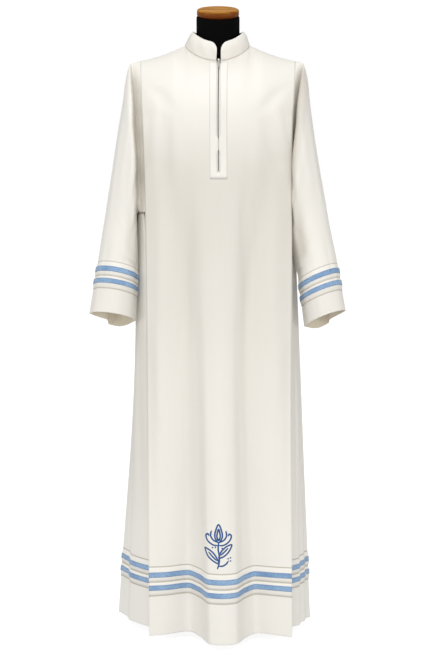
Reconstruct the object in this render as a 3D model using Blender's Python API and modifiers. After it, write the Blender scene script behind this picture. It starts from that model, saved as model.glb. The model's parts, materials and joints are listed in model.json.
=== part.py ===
"""Alb robe standing on a limbless dress form.

Metres, +Z up. The front faces -Y and the right-hand side of the view is +X.
The origin is on the floor, under the middle of the form's base plate.

The robe is a wall of cloth through sections worked out from its sizes. A body
panel is a grid: its columns run from shoulder or neck to hem and its rows are
level cuts. A sleeve is a run of rings from the armhole seam to the cuff. What
is sewn on a panel (placket, zip, ribbons) is made from that panel's points.
"""

import math

import bmesh
import bpy
from mathutils import Matrix, Vector

# ---- cloth ----
CLOTH = 0.0016            # wall of every robe piece
SEAM = 0.0006             # gap between two edges that are sewn together
SIDE_SEAM = 0.0014        # the same where the cloth turns a corner at the seam
LIE = 0.0004              # gap under a strip that lies on a panel
RIBBON = 0.0008           # thickness of a sewn-on ribbon

# ---- heights above the floor ----
HEM_Z = 0.0215
RIBBON_EDGES = (0.119, 0.132, 0.153, 0.166)   # two ribbons, measured up from the hem
UNDERARM_Z = 1.105
CHEST_Z = 1.345           # the chest stands furthest forward here
FOLD_TOP_Z = 1.230        # the front folds fade out at this height

# ---- neck and shoulder ----
NECK_X = -0.0030          # middle of the neckline
NECK_HALF = 0.0820
NECK_FRONT_Y = -0.0750
NECK_BACK_Y = 0.0640
NECK_FRONT_Z = 1.4785
NECK_SIDE_Z = 1.5200
NECK_BACK_Z = 1.5150
SHOULDER_LEFT_X = -0.1975
SHOULDER_RIGHT_X = 0.1945
SHOULDER_Z = 1.4820
RIDGE_POWER = 1.35        # over 1 makes the shoulder slope away more sharply
FLAT_CLIMB = 0.965        # the strip from here to the shoulder seam lies level

# ---- collar ----
COLLAR_HEIGHT = 0.0370    # at the sides and back
COLLAR_FRONT_EXTRA = 0.0130
COLLAR_TOP_HALF = 0.0635
COLLAR_TOP_FRONT = 0.0610
COLLAR_TOP_BACK = 0.0630
COLLAR_BOW = 0.0015
COLLAR_FOOT = 0.07        # share of the height that stands upright on the seam
COLLAR_OPENING = 0.0040   # half the gap between the collar's front ends
COLLAR_CORNER = 0.016     # radius of the rounded front corners

# ---- zip ----
ZIP_END_Z = 1.2040
PLACKET_END_Z = 1.1880
PLACKET_HALF = 0.0225
ZIP_SLOT_HALF = 0.0050
CHAIN_HALF = 0.0023
CHAIN_RAISE = 0.0010
PLACKET = 0.0012          # thickness of the facing round the zip
STOP_HEIGHT = 0.0030
SLIDER_DOWN = 0.0070      # the slider's middle, down the front from the neckline
SLIDER_WIDTH = 0.0088
SLIDER_LENGTH = 0.0110
SLIDER_DEPTH = 0.0028
PIN_UP = 0.0030           # the tab's hinge pin, above the slider's middle
PIN_OUT = 0.0048          # and in front of the slider's back face
PIN_RADIUS = 0.0006
LUG_X = 0.0033
LUG_WIDTH = 0.0011
EYE_RADIUS = 0.0015
EYE_HALF = 0.0023
BORE_RADIUS = 0.0010
TAB_WIDTH = 0.0056
TAB_LENGTH = 0.0185
TAB_THICKNESS = 0.0010

# ---- dress form ----
FORM_GAP = 0.0005         # the shoulders of the robe rest this far off the form
NECK_RADIUS = 0.0550
NECK_TOP_Z = 1.5930
CAP_RADIUS = 0.0530
CAP_THICKNESS = 0.0180
CAP_TILT = math.radians(15.0)
POLE_RADIUS = 0.0125
BASE_HALF_X = 0.170
BASE_HALF_Y = 0.085
BASE_Y = 0.010
BASE_THICKNESS = 0.012

# Edges of the two wide panels. left and right are X, front_y and back_y are the
# depth of the front panel's and the back panel's edges.
EDGES = [
    # z,      left,    right,   front_l, front_r, back_y
    (HEM_Z,  -0.1780,  0.1885, -0.1490, -0.1580,  0.1250),
    (0.226,  -0.1785,  0.1890, -0.1420, -0.1490,  0.1190),
    (0.790,  -0.1814,  0.1851, -0.1090, -0.1110,  0.0920),
    (1.136,  -0.1858,  0.1841, -0.0780, -0.0780,  0.0700),
    (1.300,  -0.1900,  0.1855, -0.0700, -0.0700,  0.0640),
    (1.400,  -0.1935,  0.1895, -0.0600, -0.0600,  0.0560),
    (1.4826, -0.1975,  0.1945, -0.0600, -0.0600,  0.0560),
]

# Folds of the front panel, a row for each trough, lobe or flat, left to right.
FRONT_FOLDS = [
    # place,        x_mid,   y_mid,   x_hem,   y_hem      (mid is at MID_Z)
    ("edge",       -0.1814, -0.1090, -0.1780, -0.1490),
    ("flat",       -0.1380, -0.1330, -0.1300, -0.1330),
    ("trough",     -0.0880, -0.1220, -0.0790, -0.1140),
    ("flank",      -0.0590, -0.1330, -0.0470, -0.1520),
    ("lobe",       -0.0330, -0.1520, -0.0200, -0.2060),
    ("lobe",        0.0020, -0.1590,  0.0120, -0.2120),
    ("lobe",        0.0330, -0.1520,  0.0440, -0.2040),
    ("flank",       0.0520, -0.1380,  0.0700, -0.1590),
    ("trough",      0.0740, -0.1240,  0.1020, -0.1270),
    ("flat",        0.1290, -0.1340,  0.1450, -0.1390),
    ("edge",        0.1851, -0.1110,  0.1885, -0.1580),
]
MID_Z = 0.790
TUCK_COLUMNS = 4          # side panel columns that lie in the tuck, behind the front's edge

# Side panels: sections at the underarm, the middle and the hem, from behind the
# front panel's edge, round the tucked fold, out to the corner and to the back.
SIDE_LEFT = [
    # place,        x_top,   y_top,   x_mid,   y_mid,   x_hem,   y_hem
    ("tuck_in",    -0.1855, -0.0735, -0.1640, -0.1010, -0.1480, -0.1180),
    ("tuck_turn",  -0.1850, -0.0690, -0.1580, -0.0940, -0.1400, -0.1080),
    ("tuck_out",   -0.1860, -0.0640, -0.1640, -0.0870, -0.1480, -0.0990),
    ("passes",     -0.1890, -0.0560, -0.1880, -0.0740, -0.1840, -0.0770),
    ("soft_fold",  -0.2030, -0.0330, -0.2060, -0.0460, -0.2260, -0.0400),
    ("corner_in",  -0.2115, -0.0060, -0.2160, -0.0150, -0.2590,  0.0020),
    ("corner",     -0.2125,  0.0170, -0.2165,  0.0070, -0.2700,  0.0250),
    ("back_turn",  -0.2010,  0.0420, -0.2060,  0.0480, -0.2480,  0.0760),
    ("near_seam",  -0.1890,  0.0620, -0.1920,  0.0830, -0.2050,  0.1120),
]
SIDE_RIGHT = [
    ("tuck_in",     0.1825, -0.0735,  0.1660, -0.1030,  0.1580, -0.1260),
    ("tuck_turn",   0.1818, -0.0690,  0.1600, -0.0960,  0.1500, -0.1160),
    ("tuck_out",    0.1822, -0.0640,  0.1660, -0.0890,  0.1580, -0.1070),
    ("passes",      0.1835, -0.0560,  0.1880, -0.0740,  0.1920, -0.0800),
    ("soft_fold",   0.1880, -0.0330,  0.1970, -0.0460,  0.2170, -0.0620),
    ("corner_in",   0.1935, -0.0060,  0.2060, -0.0150,  0.2340, -0.0400),
    ("corner",      0.1945,  0.0170,  0.2070,  0.0070,  0.2440, -0.0150),
    ("back_turn",   0.1910,  0.0420,  0.2000,  0.0480,  0.2330,  0.0500),
    ("near_seam",   0.1850,  0.0620,  0.1880,  0.0830,  0.2080,  0.1060),
]

# Sleeves: out_* is the point of the ring away from the body (the shoulder line),
# in_* the point next to the body (the underarm line); front and back are the
# depths on either side, and lean drops the ring's back edge below its front one.
# Rings above the cuff are ovals; cuff is the share of the cuff's own section.
LEFT_RINGS = [
    # place,     out_x,   out_y,  out_z,   in_x,    in_y,   in_z,  front,  back,  lean, cuff
    ("strip",   -0.2100,  0.000, 1.4812, -0.2190, -0.006, 1.0985, 0.0540, 0.052,  0.0, 0.0),
    ("groove",  -0.2200,  0.000, 1.4790, -0.2200, -0.006, 1.0870, 0.0370, 0.044,  0.0, 0.0),
    ("lip",     -0.2230, -0.001, 1.4770, -0.2175, -0.010, 1.0760, 0.0620, 0.054,  0.5, 0.0),
    ("peak",    -0.2262, -0.001, 1.4720, -0.2165, -0.020, 1.0650, 0.0720, 0.060,  1.0, 0.0),
    ("cap",     -0.2340, -0.001, 1.4400, -0.2140, -0.032, 1.0480, 0.0770, 0.062,  2.0, 0.0),
    ("upper",   -0.2430, -0.002, 1.3800, -0.2115, -0.042, 1.0280, 0.0740, 0.060,  4.0, 0.0),
    ("upper",   -0.2560, -0.006, 1.3050, -0.2108, -0.047, 1.0120, 0.0690, 0.058,  6.0, 0.1),
    ("elbow",   -0.2700, -0.012, 1.2150, -0.2105, -0.050, 0.9960, 0.0640, 0.055,  8.0, 0.2),
    ("elbow",   -0.2835, -0.022, 1.1300, -0.2105, -0.053, 0.9800, 0.0600, 0.052, 11.0, 0.35),
    ("fore",    -0.2980, -0.038, 1.0400, -0.2108, -0.057, 0.9680, 0.0560, 0.050, 14.0, 0.6),
]
RIGHT_RINGS = [
    ("strip",    0.2030,  0.000, 1.4802,  0.2000, -0.006, 1.0985, 0.0500, 0.052,  0.0, 0.0),
    ("groove",   0.2115,  0.000, 1.4780,  0.2010, -0.006, 1.0870, 0.0330, 0.044,  0.0, 0.0),
    ("lip",      0.2140, -0.001, 1.4760,  0.1985, -0.012, 1.0760, 0.0620, 0.054,  0.5, 0.0),
    ("peak",     0.2170, -0.001, 1.4700,  0.1965, -0.024, 1.0650, 0.0720, 0.060,  1.0, 0.0),
    ("cap",      0.2260, -0.001, 1.4350,  0.1940, -0.036, 1.0480, 0.0770, 0.062,  2.0, 0.0),
    ("upper",    0.2325, -0.002, 1.3750,  0.1920, -0.046, 1.0280, 0.0740, 0.060,  4.0, 0.0),
    ("upper",    0.2430, -0.006, 1.3000,  0.1925, -0.050, 1.0100, 0.0690, 0.056,  6.0, 0.1),
    ("elbow",    0.2580, -0.012, 1.2100,  0.1950, -0.053, 0.9920, 0.0640, 0.052,  8.0, 0.2),
    ("elbow",    0.2725, -0.022, 1.1300,  0.1985, -0.056, 0.9720, 0.0600, 0.050, 11.0, 0.35),
    ("fore",     0.2880, -0.038, 1.0450,  0.2020, -0.059, 0.9520, 0.0560, 0.048, 14.0, 0.6),
]
# The last stretch is straight: the cuff's ring, and the same ring CUFF_RUN above it.
CUFFS = {
    # side: out_x,  out_y,  out_z,   in_x,    in_y,   in_z,  front,  back,  lean, cuff
    "left":  (-0.3280, -0.083, 0.8487, -0.2125, -0.074, 0.8290, 0.0500, 0.054, 19.0, 1.0),
    "right": (0.3227, -0.083, 0.8554, 0.2177, -0.074, 0.8139, 0.0500, 0.054, 19.0, 1.0),
}
CUFF_RUN = 0.140
CUFF_RUN_TOP = {
    "left":  (-0.3070, -0.0500, 0.9810, -0.2118, -0.060, 0.9620, 0.0540, 0.050, 17.0, 1.0),
    "right": (0.3000, -0.0500, 0.9880, 0.2055, -0.060, 0.9460, 0.0540, 0.050, 17.0, 1.0),
}
# Section of the cuff: share of the width from the outer crease to the inner one,
# and the depth there as a share of front and back. The back layer steps out.
CUFF_SECTION = [
    # across, front, back
    (0.00,   0.00,  0.00),
    (0.12,   0.55,  0.20),
    (0.25,   0.80,  0.32),
    (0.38,   0.95,  0.42),
    (0.47,   1.00,  0.78),
    (0.60,   1.00,  1.00),
    (0.75,   0.88,  0.98),
    (0.90,   0.58,  0.68),
    (1.00,   0.00,  0.00),
]
BACK_SKEW = 0.45          # how far a ring's back layer swings away from the body
SEAM_WEIGHTS = {"strip": 0.88, "groove": 0.45, "lip": 0.20}   # share of the seam's own shape
CUFF_ROWS = (0.133, 0.121, 0.108, 0.089, 0.077, 0.040, 0.0)
CUFF_RIBBON_ROWS = ((0.121, 0.108), (0.089, 0.077))

# Dress form: level rings below the shoulders.
FORM_RINGS = [
    # z,     half_x,  front,   back
    (0.800,  0.1500,  0.1000,  0.0750),
    (0.880,  0.1560,  0.1050,  0.0800),
    (0.980,  0.1520,  0.1000,  0.0760),
    (1.100,  0.1380,  0.0950,  0.0640),
    (1.220,  0.1480,  0.1080,  0.0640),
]
FORM_ROUND = 2.3          # superellipse power of the form's rings

COLOURS = {
    "cloth": (0.86, 0.84, 0.80, 1.0),
    "ribbon": (0.24, 0.40, 0.65, 1.0),
    "metal": (0.62, 0.62, 0.62, 1.0),
    "jersey": (0.012, 0.012, 0.013, 1.0),
    "wood": (0.48, 0.22, 0.09, 1.0),
    "steel": (0.10, 0.10, 0.10, 1.0),
}
ROUGHNESS = {"cloth": 0.75, "ribbon": 0.40, "metal": 0.30, "jersey": 0.90,
             "wood": 0.35, "steel": 0.45}
METALLIC = {"metal": 1.0, "steel": 0.8}


# ---------------------------------------------------------------- small helpers
def lerp(a, b, t):
    return a + (b - a) * t


def ease(t):
    t = min(max(t, 0.0), 1.0)
    return t * t * (3.0 - 2.0 * t)


def curve_through(xs, ys, x):
    """Smooth value at x of the curve through (xs, ys), with no overshoot."""
    if x <= xs[0]:
        return ys[0]
    if x >= xs[-1]:
        return ys[-1]
    i = max(k for k in range(len(xs) - 1) if xs[k] <= x)

    def slope(k):
        if k == 0:
            return (ys[1] - ys[0]) / (xs[1] - xs[0])
        if k == len(xs) - 1:
            return (ys[-1] - ys[-2]) / (xs[-1] - xs[-2])
        before = (ys[k] - ys[k - 1]) / (xs[k] - xs[k - 1])
        after = (ys[k + 1] - ys[k]) / (xs[k + 1] - xs[k])
        if before * after <= 0.0:
            return 0.0
        return 2.0 * before * after / (before + after)

    h = xs[i + 1] - xs[i]
    t = (x - xs[i]) / h
    m0 = slope(i) * h
    m1 = slope(i + 1) * h
    return ((2 * t ** 3 - 3 * t ** 2 + 1) * ys[i] + (t ** 3 - 2 * t ** 2 + t) * m0
            + (3 * t ** 2 - 2 * t ** 3) * ys[i + 1] + (t ** 3 - t ** 2) * m1)


def edge_at(name, z):
    column = {"left": 1, "right": 2, "front_l": 3, "front_r": 4, "back": 5}[name]
    return curve_through([row[0] for row in EDGES], [row[column] for row in EDGES], z)


def material(name):
    found = bpy.data.materials.get(name)
    if found:
        return found
    made = bpy.data.materials.new(name)
    made.use_nodes = True
    shader = made.node_tree.nodes["Principled BSDF"]
    shader.inputs["Base Color"].default_value = COLOURS[name]
    shader.inputs["Roughness"].default_value = ROUGHNESS[name]
    shader.inputs["Metallic"].default_value = METALLIC.get(name, 0.0)
    return made


def move_to(made, collection):
    """Take an object that an operator made out of its collection and into this one."""
    for held in list(made.users_collection):
        held.objects.unlink(made)
    collection.objects.link(made)


def add_object(name, mesh, finish):
    made = bpy.data.objects.new(name, mesh)
    made.data.materials.append(material(finish))
    parts.objects.link(made)
    return made


def grid_mesh(name, rows, wrap=False, skip=None):
    """Open surface through rows of points; wrap joins the last column to the first."""
    mesh = bpy.data.meshes.new(name)
    bm = bmesh.new()
    verts = [[bm.verts.new(p) for p in row] for row in rows]
    count = len(rows[0])
    for r in range(len(rows) - 1):
        for c in range(count if wrap else count - 1):
            if skip and skip(r, c):
                continue
            n = (c + 1) % count
            bm.faces.new((verts[r][c], verts[r][n], verts[r + 1][n], verts[r + 1][c]))
    loose = [v for v in bm.verts if not v.link_faces]
    bmesh.ops.delete(bm, geom=loose, context="VERTS")
    bm.to_mesh(mesh)
    bm.free()
    mesh.shade_smooth()
    return mesh


def wall(name, rows, finish="cloth", thickness=CLOTH, outward=False, wrap=False, skip=None):
    """A piece of cloth: an open surface given its thickness by Solidify."""
    made = add_object(name, grid_mesh(name, rows, wrap, skip), finish)
    solid = made.modifiers.new("thickness", "SOLIDIFY")
    solid.thickness = thickness
    solid.offset = 1.0 if outward else -1.0
    solid.use_even_offset = True
    solid.use_quality_normals = True
    return made


def moved_out(rows, distance, wrap=False):
    """The same grid, each point moved along the surface's outward normal."""
    result = []
    count = len(rows[0])
    for r, row in enumerate(rows):
        up = rows[min(r + 1, len(rows) - 1)]
        down = rows[max(r - 1, 0)]
        moved = []
        for c, point in enumerate(row):
            if wrap:
                after, before = row[(c + 1) % count], row[c - 1]
            else:
                after, before = row[min(c + 1, count - 1)], row[max(c - 1, 0)]
            normal = (after - before).cross(up[c] - down[c])
            moved.append(point + normal.normalized() * distance)
        result.append(moved)
    return result


# ---------------------------------------------------------------- body panels
def neckline(x, front):
    """Point of the neckline above x."""
    across = min(abs(x - NECK_X) / NECK_HALF, 1.0)
    depth = math.sqrt(1.0 - across ** 2)
    y = (NECK_FRONT_Y if front else NECK_BACK_Y) * depth
    middle = NECK_FRONT_Z if front else NECK_BACK_Z
    return Vector((x, y, NECK_SIDE_Z - (NECK_SIDE_Z - middle) * depth ** 1.5))


def top_point(x, front):
    """Upper end of the column at x: on the shoulder seam or on the neckline."""
    if abs(x - NECK_X) < NECK_HALF:
        return neckline(x, front)
    if x < 0:
        t = (x - (NECK_X - NECK_HALF)) / (SHOULDER_LEFT_X - (NECK_X - NECK_HALF))
    else:
        t = (x - (NECK_X + NECK_HALF)) / (SHOULDER_RIGHT_X - (NECK_X + NECK_HALF))
    z = lerp(NECK_SIDE_Z, SHOULDER_Z, t) - 0.004 * math.sin(math.pi * t)
    seam = -SEAM / 2 if front else SEAM / 2
    return Vector((x, seam, z))


def front_fold(u, z):
    """Front panel's point across at u (0 left, 1 right), below the chest."""
    stations = [i / (len(FRONT_FOLDS) - 1) for i in range(len(FRONT_FOLDS))]
    x_mid = curve_through(stations, [row[1] for row in FRONT_FOLDS], u)
    y_mid = curve_through(stations, [row[2] for row in FRONT_FOLDS], u)
    x_hem = curve_through(stations, [row[3] for row in FRONT_FOLDS], u)
    y_hem = curve_through(stations, [row[4] for row in FRONT_FOLDS], u)
    left, right = edge_at("left", z), edge_at("right", z)
    x_top = lerp(left, right, u)
    side_y = lerp(edge_at("front_l", z), edge_at("front_r", z), u)
    across = abs(2 * u - 1)
    y_top = lerp(-0.1400, side_y, across ** 2.3)
    if z >= FOLD_TOP_Z:
        return x_top, y_top
    levels = (HEM_Z, MID_Z, FOLD_TOP_Z)
    x = curve_through(levels, (x_hem, x_mid, x_top), z)
    y = curve_through(levels, (y_hem, y_mid, y_top), z)
    return x, y


def back_fold(u, z):
    """Back panel's point across at u (0 right, 1 left), below the shoulders."""
    left, right = edge_at("left", z), edge_at("right", z)
    across = abs(2 * u - 1)
    fall = ease((FOLD_TOP_Z - z) / (FOLD_TOP_Z - HEM_Z))
    bulge = lerp(0.036, 0.034, fall) * (1.0 - across ** 2.2)
    wave = 0.017 * fall * math.cos(3.0 * math.pi * (2 * u - 1)) * (1.0 - across ** 6)
    return lerp(right, left, u), edge_at("back", z) + bulge - wave * 0.9


def column_point(u, x_top, z, climb, front):
    """A panel's point. climb is 0 up to the chest and 1 at the upper end."""
    fold = front_fold if front else back_fold
    if climb <= 0.0:
        x, y = fold(u, z)
        return Vector((x, y, z))
    top = top_point(x_top, front)
    base_x, base_y = fold(u, CHEST_Z)
    beyond = (abs(x_top - NECK_X) - NECK_HALF) / 0.030
    last = lerp(math.radians(56.0), math.radians(90.0), ease(beyond))
    angle = climb * last
    rise = math.sin(angle) / math.sin(last)
    if climb >= FLAT_CLIMB and abs(x_top - NECK_X) > NECK_HALF - 0.0001:
        rise = 1.0
    rest = (math.cos(angle) ** RIDGE_POWER - math.cos(last) ** RIDGE_POWER) \
        / (1.0 - math.cos(last) ** RIDGE_POWER)
    return Vector((lerp(base_x, top.x, rise), lerp(top.y, base_y, rest),
                   lerp(CHEST_Z, top.z, rise)))


CLIMBS = (0.0, 0.22, 0.42, 0.60, 0.75, 0.87, FLAT_CLIMB, 1.0)
LEVELS = [HEM_Z] + [HEM_Z + edge for edge in RIBBON_EDGES] \
    + [0.34, 0.55, MID_Z, 0.95, UNDERARM_Z, 1.145, PLACKET_END_Z, ZIP_END_Z, 1.250, 1.300]
NECK_SHARES = (1.0, 0.95, 0.82, 0.62, 0.40)     # columns across half the neckline
NECK_LEFT = [NECK_X - NECK_HALF * share for share in NECK_SHARES]
NECK_RIGHT = [NECK_X + NECK_HALF * share for share in reversed(NECK_SHARES)]
FRONT_COLUMNS = [SHOULDER_LEFT_X, -0.176, -0.150, -0.122, -0.102] + NECK_LEFT \
    + [-PLACKET_HALF, -ZIP_SLOT_HALF, -CHAIN_HALF, CHAIN_HALF, ZIP_SLOT_HALF, PLACKET_HALF] \
    + NECK_RIGHT + [0.096, 0.118, 0.146, 0.172, SHOULDER_RIGHT_X]
BACK_COLUMNS = [SHOULDER_RIGHT_X, 0.172, 0.146, 0.118, 0.096] + NECK_RIGHT[::-1] \
    + [0.010, -0.016] + NECK_LEFT[::-1] + [-0.102, -0.122, -0.150, -0.176, SHOULDER_LEFT_X]


def panel_rows(columns, front):
    """The panel's grid, hem row first; u is the column's share of the width."""
    first, last = columns[0], columns[-1]
    shares = [(x - first) / (last - first) for x in columns]
    rows = []
    for z in LEVELS:
        rows.append([column_point(u, x, z, 0.0, front) for u, x in zip(shares, columns)])
    for climb in CLIMBS:
        rows.append([column_point(u, x, CHEST_Z, climb, front)
                     for u, x in zip(shares, columns)])
    return rows


def side_rows(table, side):
    """The side panel's grid, hem row first, from the front edge round to the back."""
    rows = []
    stations = [i / (len(table) - 1) for i in range(len(table))]
    for z in [level for level in LEVELS if level <= UNDERARM_Z]:
        levels = (HEM_Z, MID_Z, UNDERARM_Z)
        row = [behind_edge(side, z)]
        for s in stations:
            x = [curve_through(stations, [line[k] for line in table], s) for k in (1, 3, 5)]
            y = [curve_through(stations, [line[k] for line in table], s) for k in (2, 4, 6)]
            row.append(Vector((curve_through(levels, x[::-1], z),
                               curve_through(levels, y[::-1], z), z)))
        back_x, back_y = back_fold(1.0 if side == "left" else 0.0, z)
        seam = Vector((back_x, back_y, z))
        towards = (row[-1] - seam).normalized()
        row.append(seam + towards * SIDE_SEAM)
        rows.append(row)
    return rows


def behind_edge(side, z):
    """Start of the side panel: just behind the inner face of the front panel's edge."""
    inward = 1.0 if side == "left" else -1.0
    u = 0.0 if side == "left" else 1.0
    x, y = front_fold(u, z)
    near_x, near_y = front_fold(u + inward * 0.03, z)
    along = Vector((near_x - x, near_y - y, 0.0)).normalized()
    back = Vector((-along.y, along.x, 0.0)) * inward
    spot = Vector((x, y, z)) + along * 0.0010 + back * (2 * CLOTH + SEAM)
    return spot


# ---------------------------------------------------------------- sleeves
# The sleeve has no ring point at these rows of the panels.
SKIPPED_ROWS = [LEVELS.index(PLACKET_END_Z), LEVELS.index(1.250)] \
    + [len(LEVELS) + CLIMBS.index(climb) for climb in (0.22, 0.60, 0.87)]


def armhole(side, front_rows, back_rows, side_top):
    """The armhole seam as a ring: down the front edge, under the arm, up the back."""
    column = 0 if side == "left" else -1
    other = -1 if side == "left" else 0
    count = len(front_rows)
    kept = [r for r in range(LEVELS.index(UNDERARM_Z), count) if r not in SKIPPED_ROWS]
    front = [front_rows[r][column] for r in kept]
    back = [back_rows[r][other] for r in kept]
    away = Vector((-SEAM if side == "left" else SEAM, 0.0, 0.0))
    over = away + Vector((0.0, 0.0, 2 * SEAM))
    ring = [Vector((front[-1].x, 0.0, front[-1].z)) + away]
    ring += [p + away for p in reversed(front[1:-1])]
    ring += [p + over for p in [front[0]] + side_top[TUCK_COLUMNS:-1] + [back[0]]]
    ring += [p + away for p in back[1:-1]]
    return ring


def ring_shares(ring):
    """Angle of each ring point, 0 at the top, pi at the underarm, from its run."""
    count = len(ring)
    bottom = count // 2
    run = [0.0]
    for i in range(1, count + 1):
        run.append(run[-1] + (ring[i % count] - ring[i - 1]).length)
    half = run[bottom]
    whole = run[count]
    angles = []
    for i in range(count):
        if i <= bottom:
            angles.append(math.pi * run[i] / half)
        else:
            angles.append(math.pi + math.pi * (run[i] - half) / (whole - half))
    return angles


def sleeve_ring(data, angles, away):
    """A flattened ring from its outer and inner points, two depths and a lean."""
    out = Vector(data[0:3])
    inner = Vector(data[3:6])
    front, back, lean, cuff = data[6:10]
    tilt = math.radians(lean)
    deep = Vector((0.0, math.cos(tilt), -math.sin(tilt)))
    places = [line[0] for line in CUFF_SECTION]
    ring = []
    for angle in angles:
        c, s = math.cos(angle), math.sin(angle)
        across = 0.5 - 0.5 * math.copysign(abs(c) ** 0.9, c)
        depth = -front if s > 0 else back
        section = curve_through(places, [line[1 if s > 0 else 2] for line in CUFF_SECTION],
                                across)
        share = lerp(abs(s) ** 0.85, section, cuff)
        aside = max(depth, 0.0) * share * across * BACK_SKEW
        ring.append(out.lerp(inner, across) + deep * depth * share
                    + Vector((away * aside, 0.0, 0.0)))
    return ring


def sleeve_rows(side, seam_ring, table):
    seam_angles = ring_shares(seam_ring)
    bottom = len(seam_ring) // 2
    even = [math.pi * i / bottom if i <= bottom
            else math.pi * (1.0 + (i - bottom) / (len(seam_ring) - bottom))
            for i in range(len(seam_ring))]
    away = -1.0 if side == "left" else 1.0
    rows = [seam_ring, [p + Vector((away * 0.003, 0.0, 0.0)) for p in seam_ring]]
    for line in table:
        keep = SEAM_WEIGHTS.get(line[0], 0.0)
        angles = [lerp(b, a, keep) for a, b in zip(seam_angles, even)]
        ring = sleeve_ring(line[1:], angles, away)
        if keep:
            start = seam_ring[0]
            shift = Vector(line[1:4]) - start
            low_shift = Vector(line[4:7]) - seam_ring[len(seam_ring) // 2]
            follow = []
            for p, angle in zip(seam_ring, seam_angles):
                low = 0.5 - 0.5 * math.cos(angle)
                follow.append(p + shift.lerp(low_shift, low))
            ring = [a.lerp(b, keep) for a, b in zip(ring, follow)]
        rows.append(ring)
    cuff, above = CUFFS[side], CUFF_RUN_TOP[side]
    for run in CUFF_ROWS:
        t = run / CUFF_RUN
        rows.append(sleeve_ring([lerp(a, b, t) for a, b in zip(cuff, above)], even, away))
    if side == "right":
        rows = [[row[0]] + row[:0:-1] for row in rows]
    return rows[::-1]


# ---------------------------------------------------------------- collar and zip
def along_edge(edge, x):
    """Point above x on an edge given by points from left to right."""
    for low, high in zip(edge[:-1], edge[1:]):
        if x <= high.x:
            return low.lerp(high, (x - low.x) / (high.x - low.x))
    return edge[-1]


def collar_feet(front_edge, back_edge):
    """Points of the neckline, from the left front end round the back to the right one."""
    corner = [COLLAR_OPENING + run for run in (0.0, 0.0008, 0.003, 0.006, 0.010)]
    left = [along_edge(front_edge, -x) for x in corner]
    right = [along_edge(front_edge, x) for x in reversed(corner)]
    limit = COLLAR_OPENING + COLLAR_CORNER
    neck = [p for p in front_edge if abs(p.x - NECK_X) < NECK_HALF + 0.0001]
    left += [p for p in reversed(neck) if p.x < -limit]
    right = [p for p in reversed(neck) if p.x > limit] + right
    behind = [p for p in back_edge if abs(p.x - NECK_X) < NECK_HALF - 0.0001]
    return left, behind, right


def collar_rows(front_edge, back_edge):
    """Stand collar on the neckline's own points, its front corners rounded."""
    rises = (0.0, COLLAR_FOOT, 0.33, 0.60, 0.81, 0.93, 1.0)
    left, behind, right = collar_feet(front_edge, back_edge)
    rows = [[] for _ in rises]
    for place, feet in (("front", left), ("back", behind), ("front", right)):
        for foot in feet:
            across = min(max((foot.x - NECK_X) / NECK_HALF, -1.0), 1.0)
            depth = math.sqrt(1.0 - across ** 2)
            run = COLLAR_CORNER
            top_y = COLLAR_TOP_BACK * depth
            height = COLLAR_HEIGHT
            if place == "front":
                run = abs(foot.x) - COLLAR_OPENING
                top_y = -COLLAR_TOP_FRONT * depth
                height += COLLAR_FRONT_EXTRA * depth ** 1.5
            start = foot + Vector((0.0, 0.0, 2 * SEAM))
            head = Vector((NECK_X + 0.002 + COLLAR_TOP_HALF * across, top_y, start.z + height))
            corner = max(0.0, 1.0 - run / COLLAR_CORNER)
            drop = COLLAR_CORNER * (1.0 - math.sqrt(max(0.0, 1.0 - corner ** 2)))
            outward = Vector((across, -depth if place == "front" else depth, 0.0))
            for k, rise in enumerate(rises):
                climbed = rise * (1.0 - drop / height)
                lean = max(0.0, climbed - COLLAR_FOOT) / (1.0 - COLLAR_FOOT)
                spot = start.lerp(head, lean) + outward * COLLAR_BOW * math.sin(math.pi * lean)
                spot.z = lerp(start.z, head.z, climbed)
                rows[k].append(spot)
    return [row[::-1] for row in rows]


def ribbon(name, rows, low, wrap=False):
    """A ribbon sewn on between two neighbouring rows of a panel or sleeve."""
    lifted = moved_out(rows, LIE, wrap)[low:low + 2]
    wall(name, lifted, "ribbon", RIBBON, outward=True, wrap=wrap)


def build_placket(front_rows):
    """Facing round the zip: a strip on each side of the slot, joined below its end."""
    low = LEVELS.index(PLACKET_END_Z)
    slot_end = LEVELS.index(ZIP_END_Z) - low
    first = FRONT_COLUMNS.index(-PLACKET_HALF)
    last = FRONT_COLUMNS.index(PLACKET_HALF)
    slot_first = FRONT_COLUMNS.index(-ZIP_SLOT_HALF) - first
    slot_last = FRONT_COLUMNS.index(ZIP_SLOT_HALF) - first
    lifted = [row[first:last + 1] for row in moved_out(front_rows, LIE)[low:-1]]
    wall("zip_placket", lifted, "cloth", PLACKET, outward=True,
         skip=lambda r, c: r >= slot_end and slot_first <= c < slot_last)


def zip_frame(front_rows, down):
    """Axes on the chain, this far down the front from the neckline."""
    middle = FRONT_COLUMNS.index(-CHAIN_HALF)
    line = [(row[middle] + row[middle + 1]) / 2 for row in front_rows][::-1]
    for upper, lower in zip(line[:-1], line[1:]):
        run = (lower - upper).length
        if down <= run:
            up = (upper - lower).normalized()
            out = Vector((1.0, 0.0, 0.0)).cross(up)
            out = out if out.y < 0 else -out
            spot = upper - up * down + out * (LIE + CHAIN_RAISE + LIE)
            frame = Matrix((Vector((1.0, 0.0, 0.0)), up, out)).transposed().to_4x4()
            frame.translation = spot
            return frame
        down -= run
    return None


def block(bm, size, centre):
    made = bmesh.ops.create_cube(bm, size=1.0)["verts"]
    bmesh.ops.scale(bm, vec=size, verts=made)
    bmesh.ops.translate(bm, vec=centre, verts=made)


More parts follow.
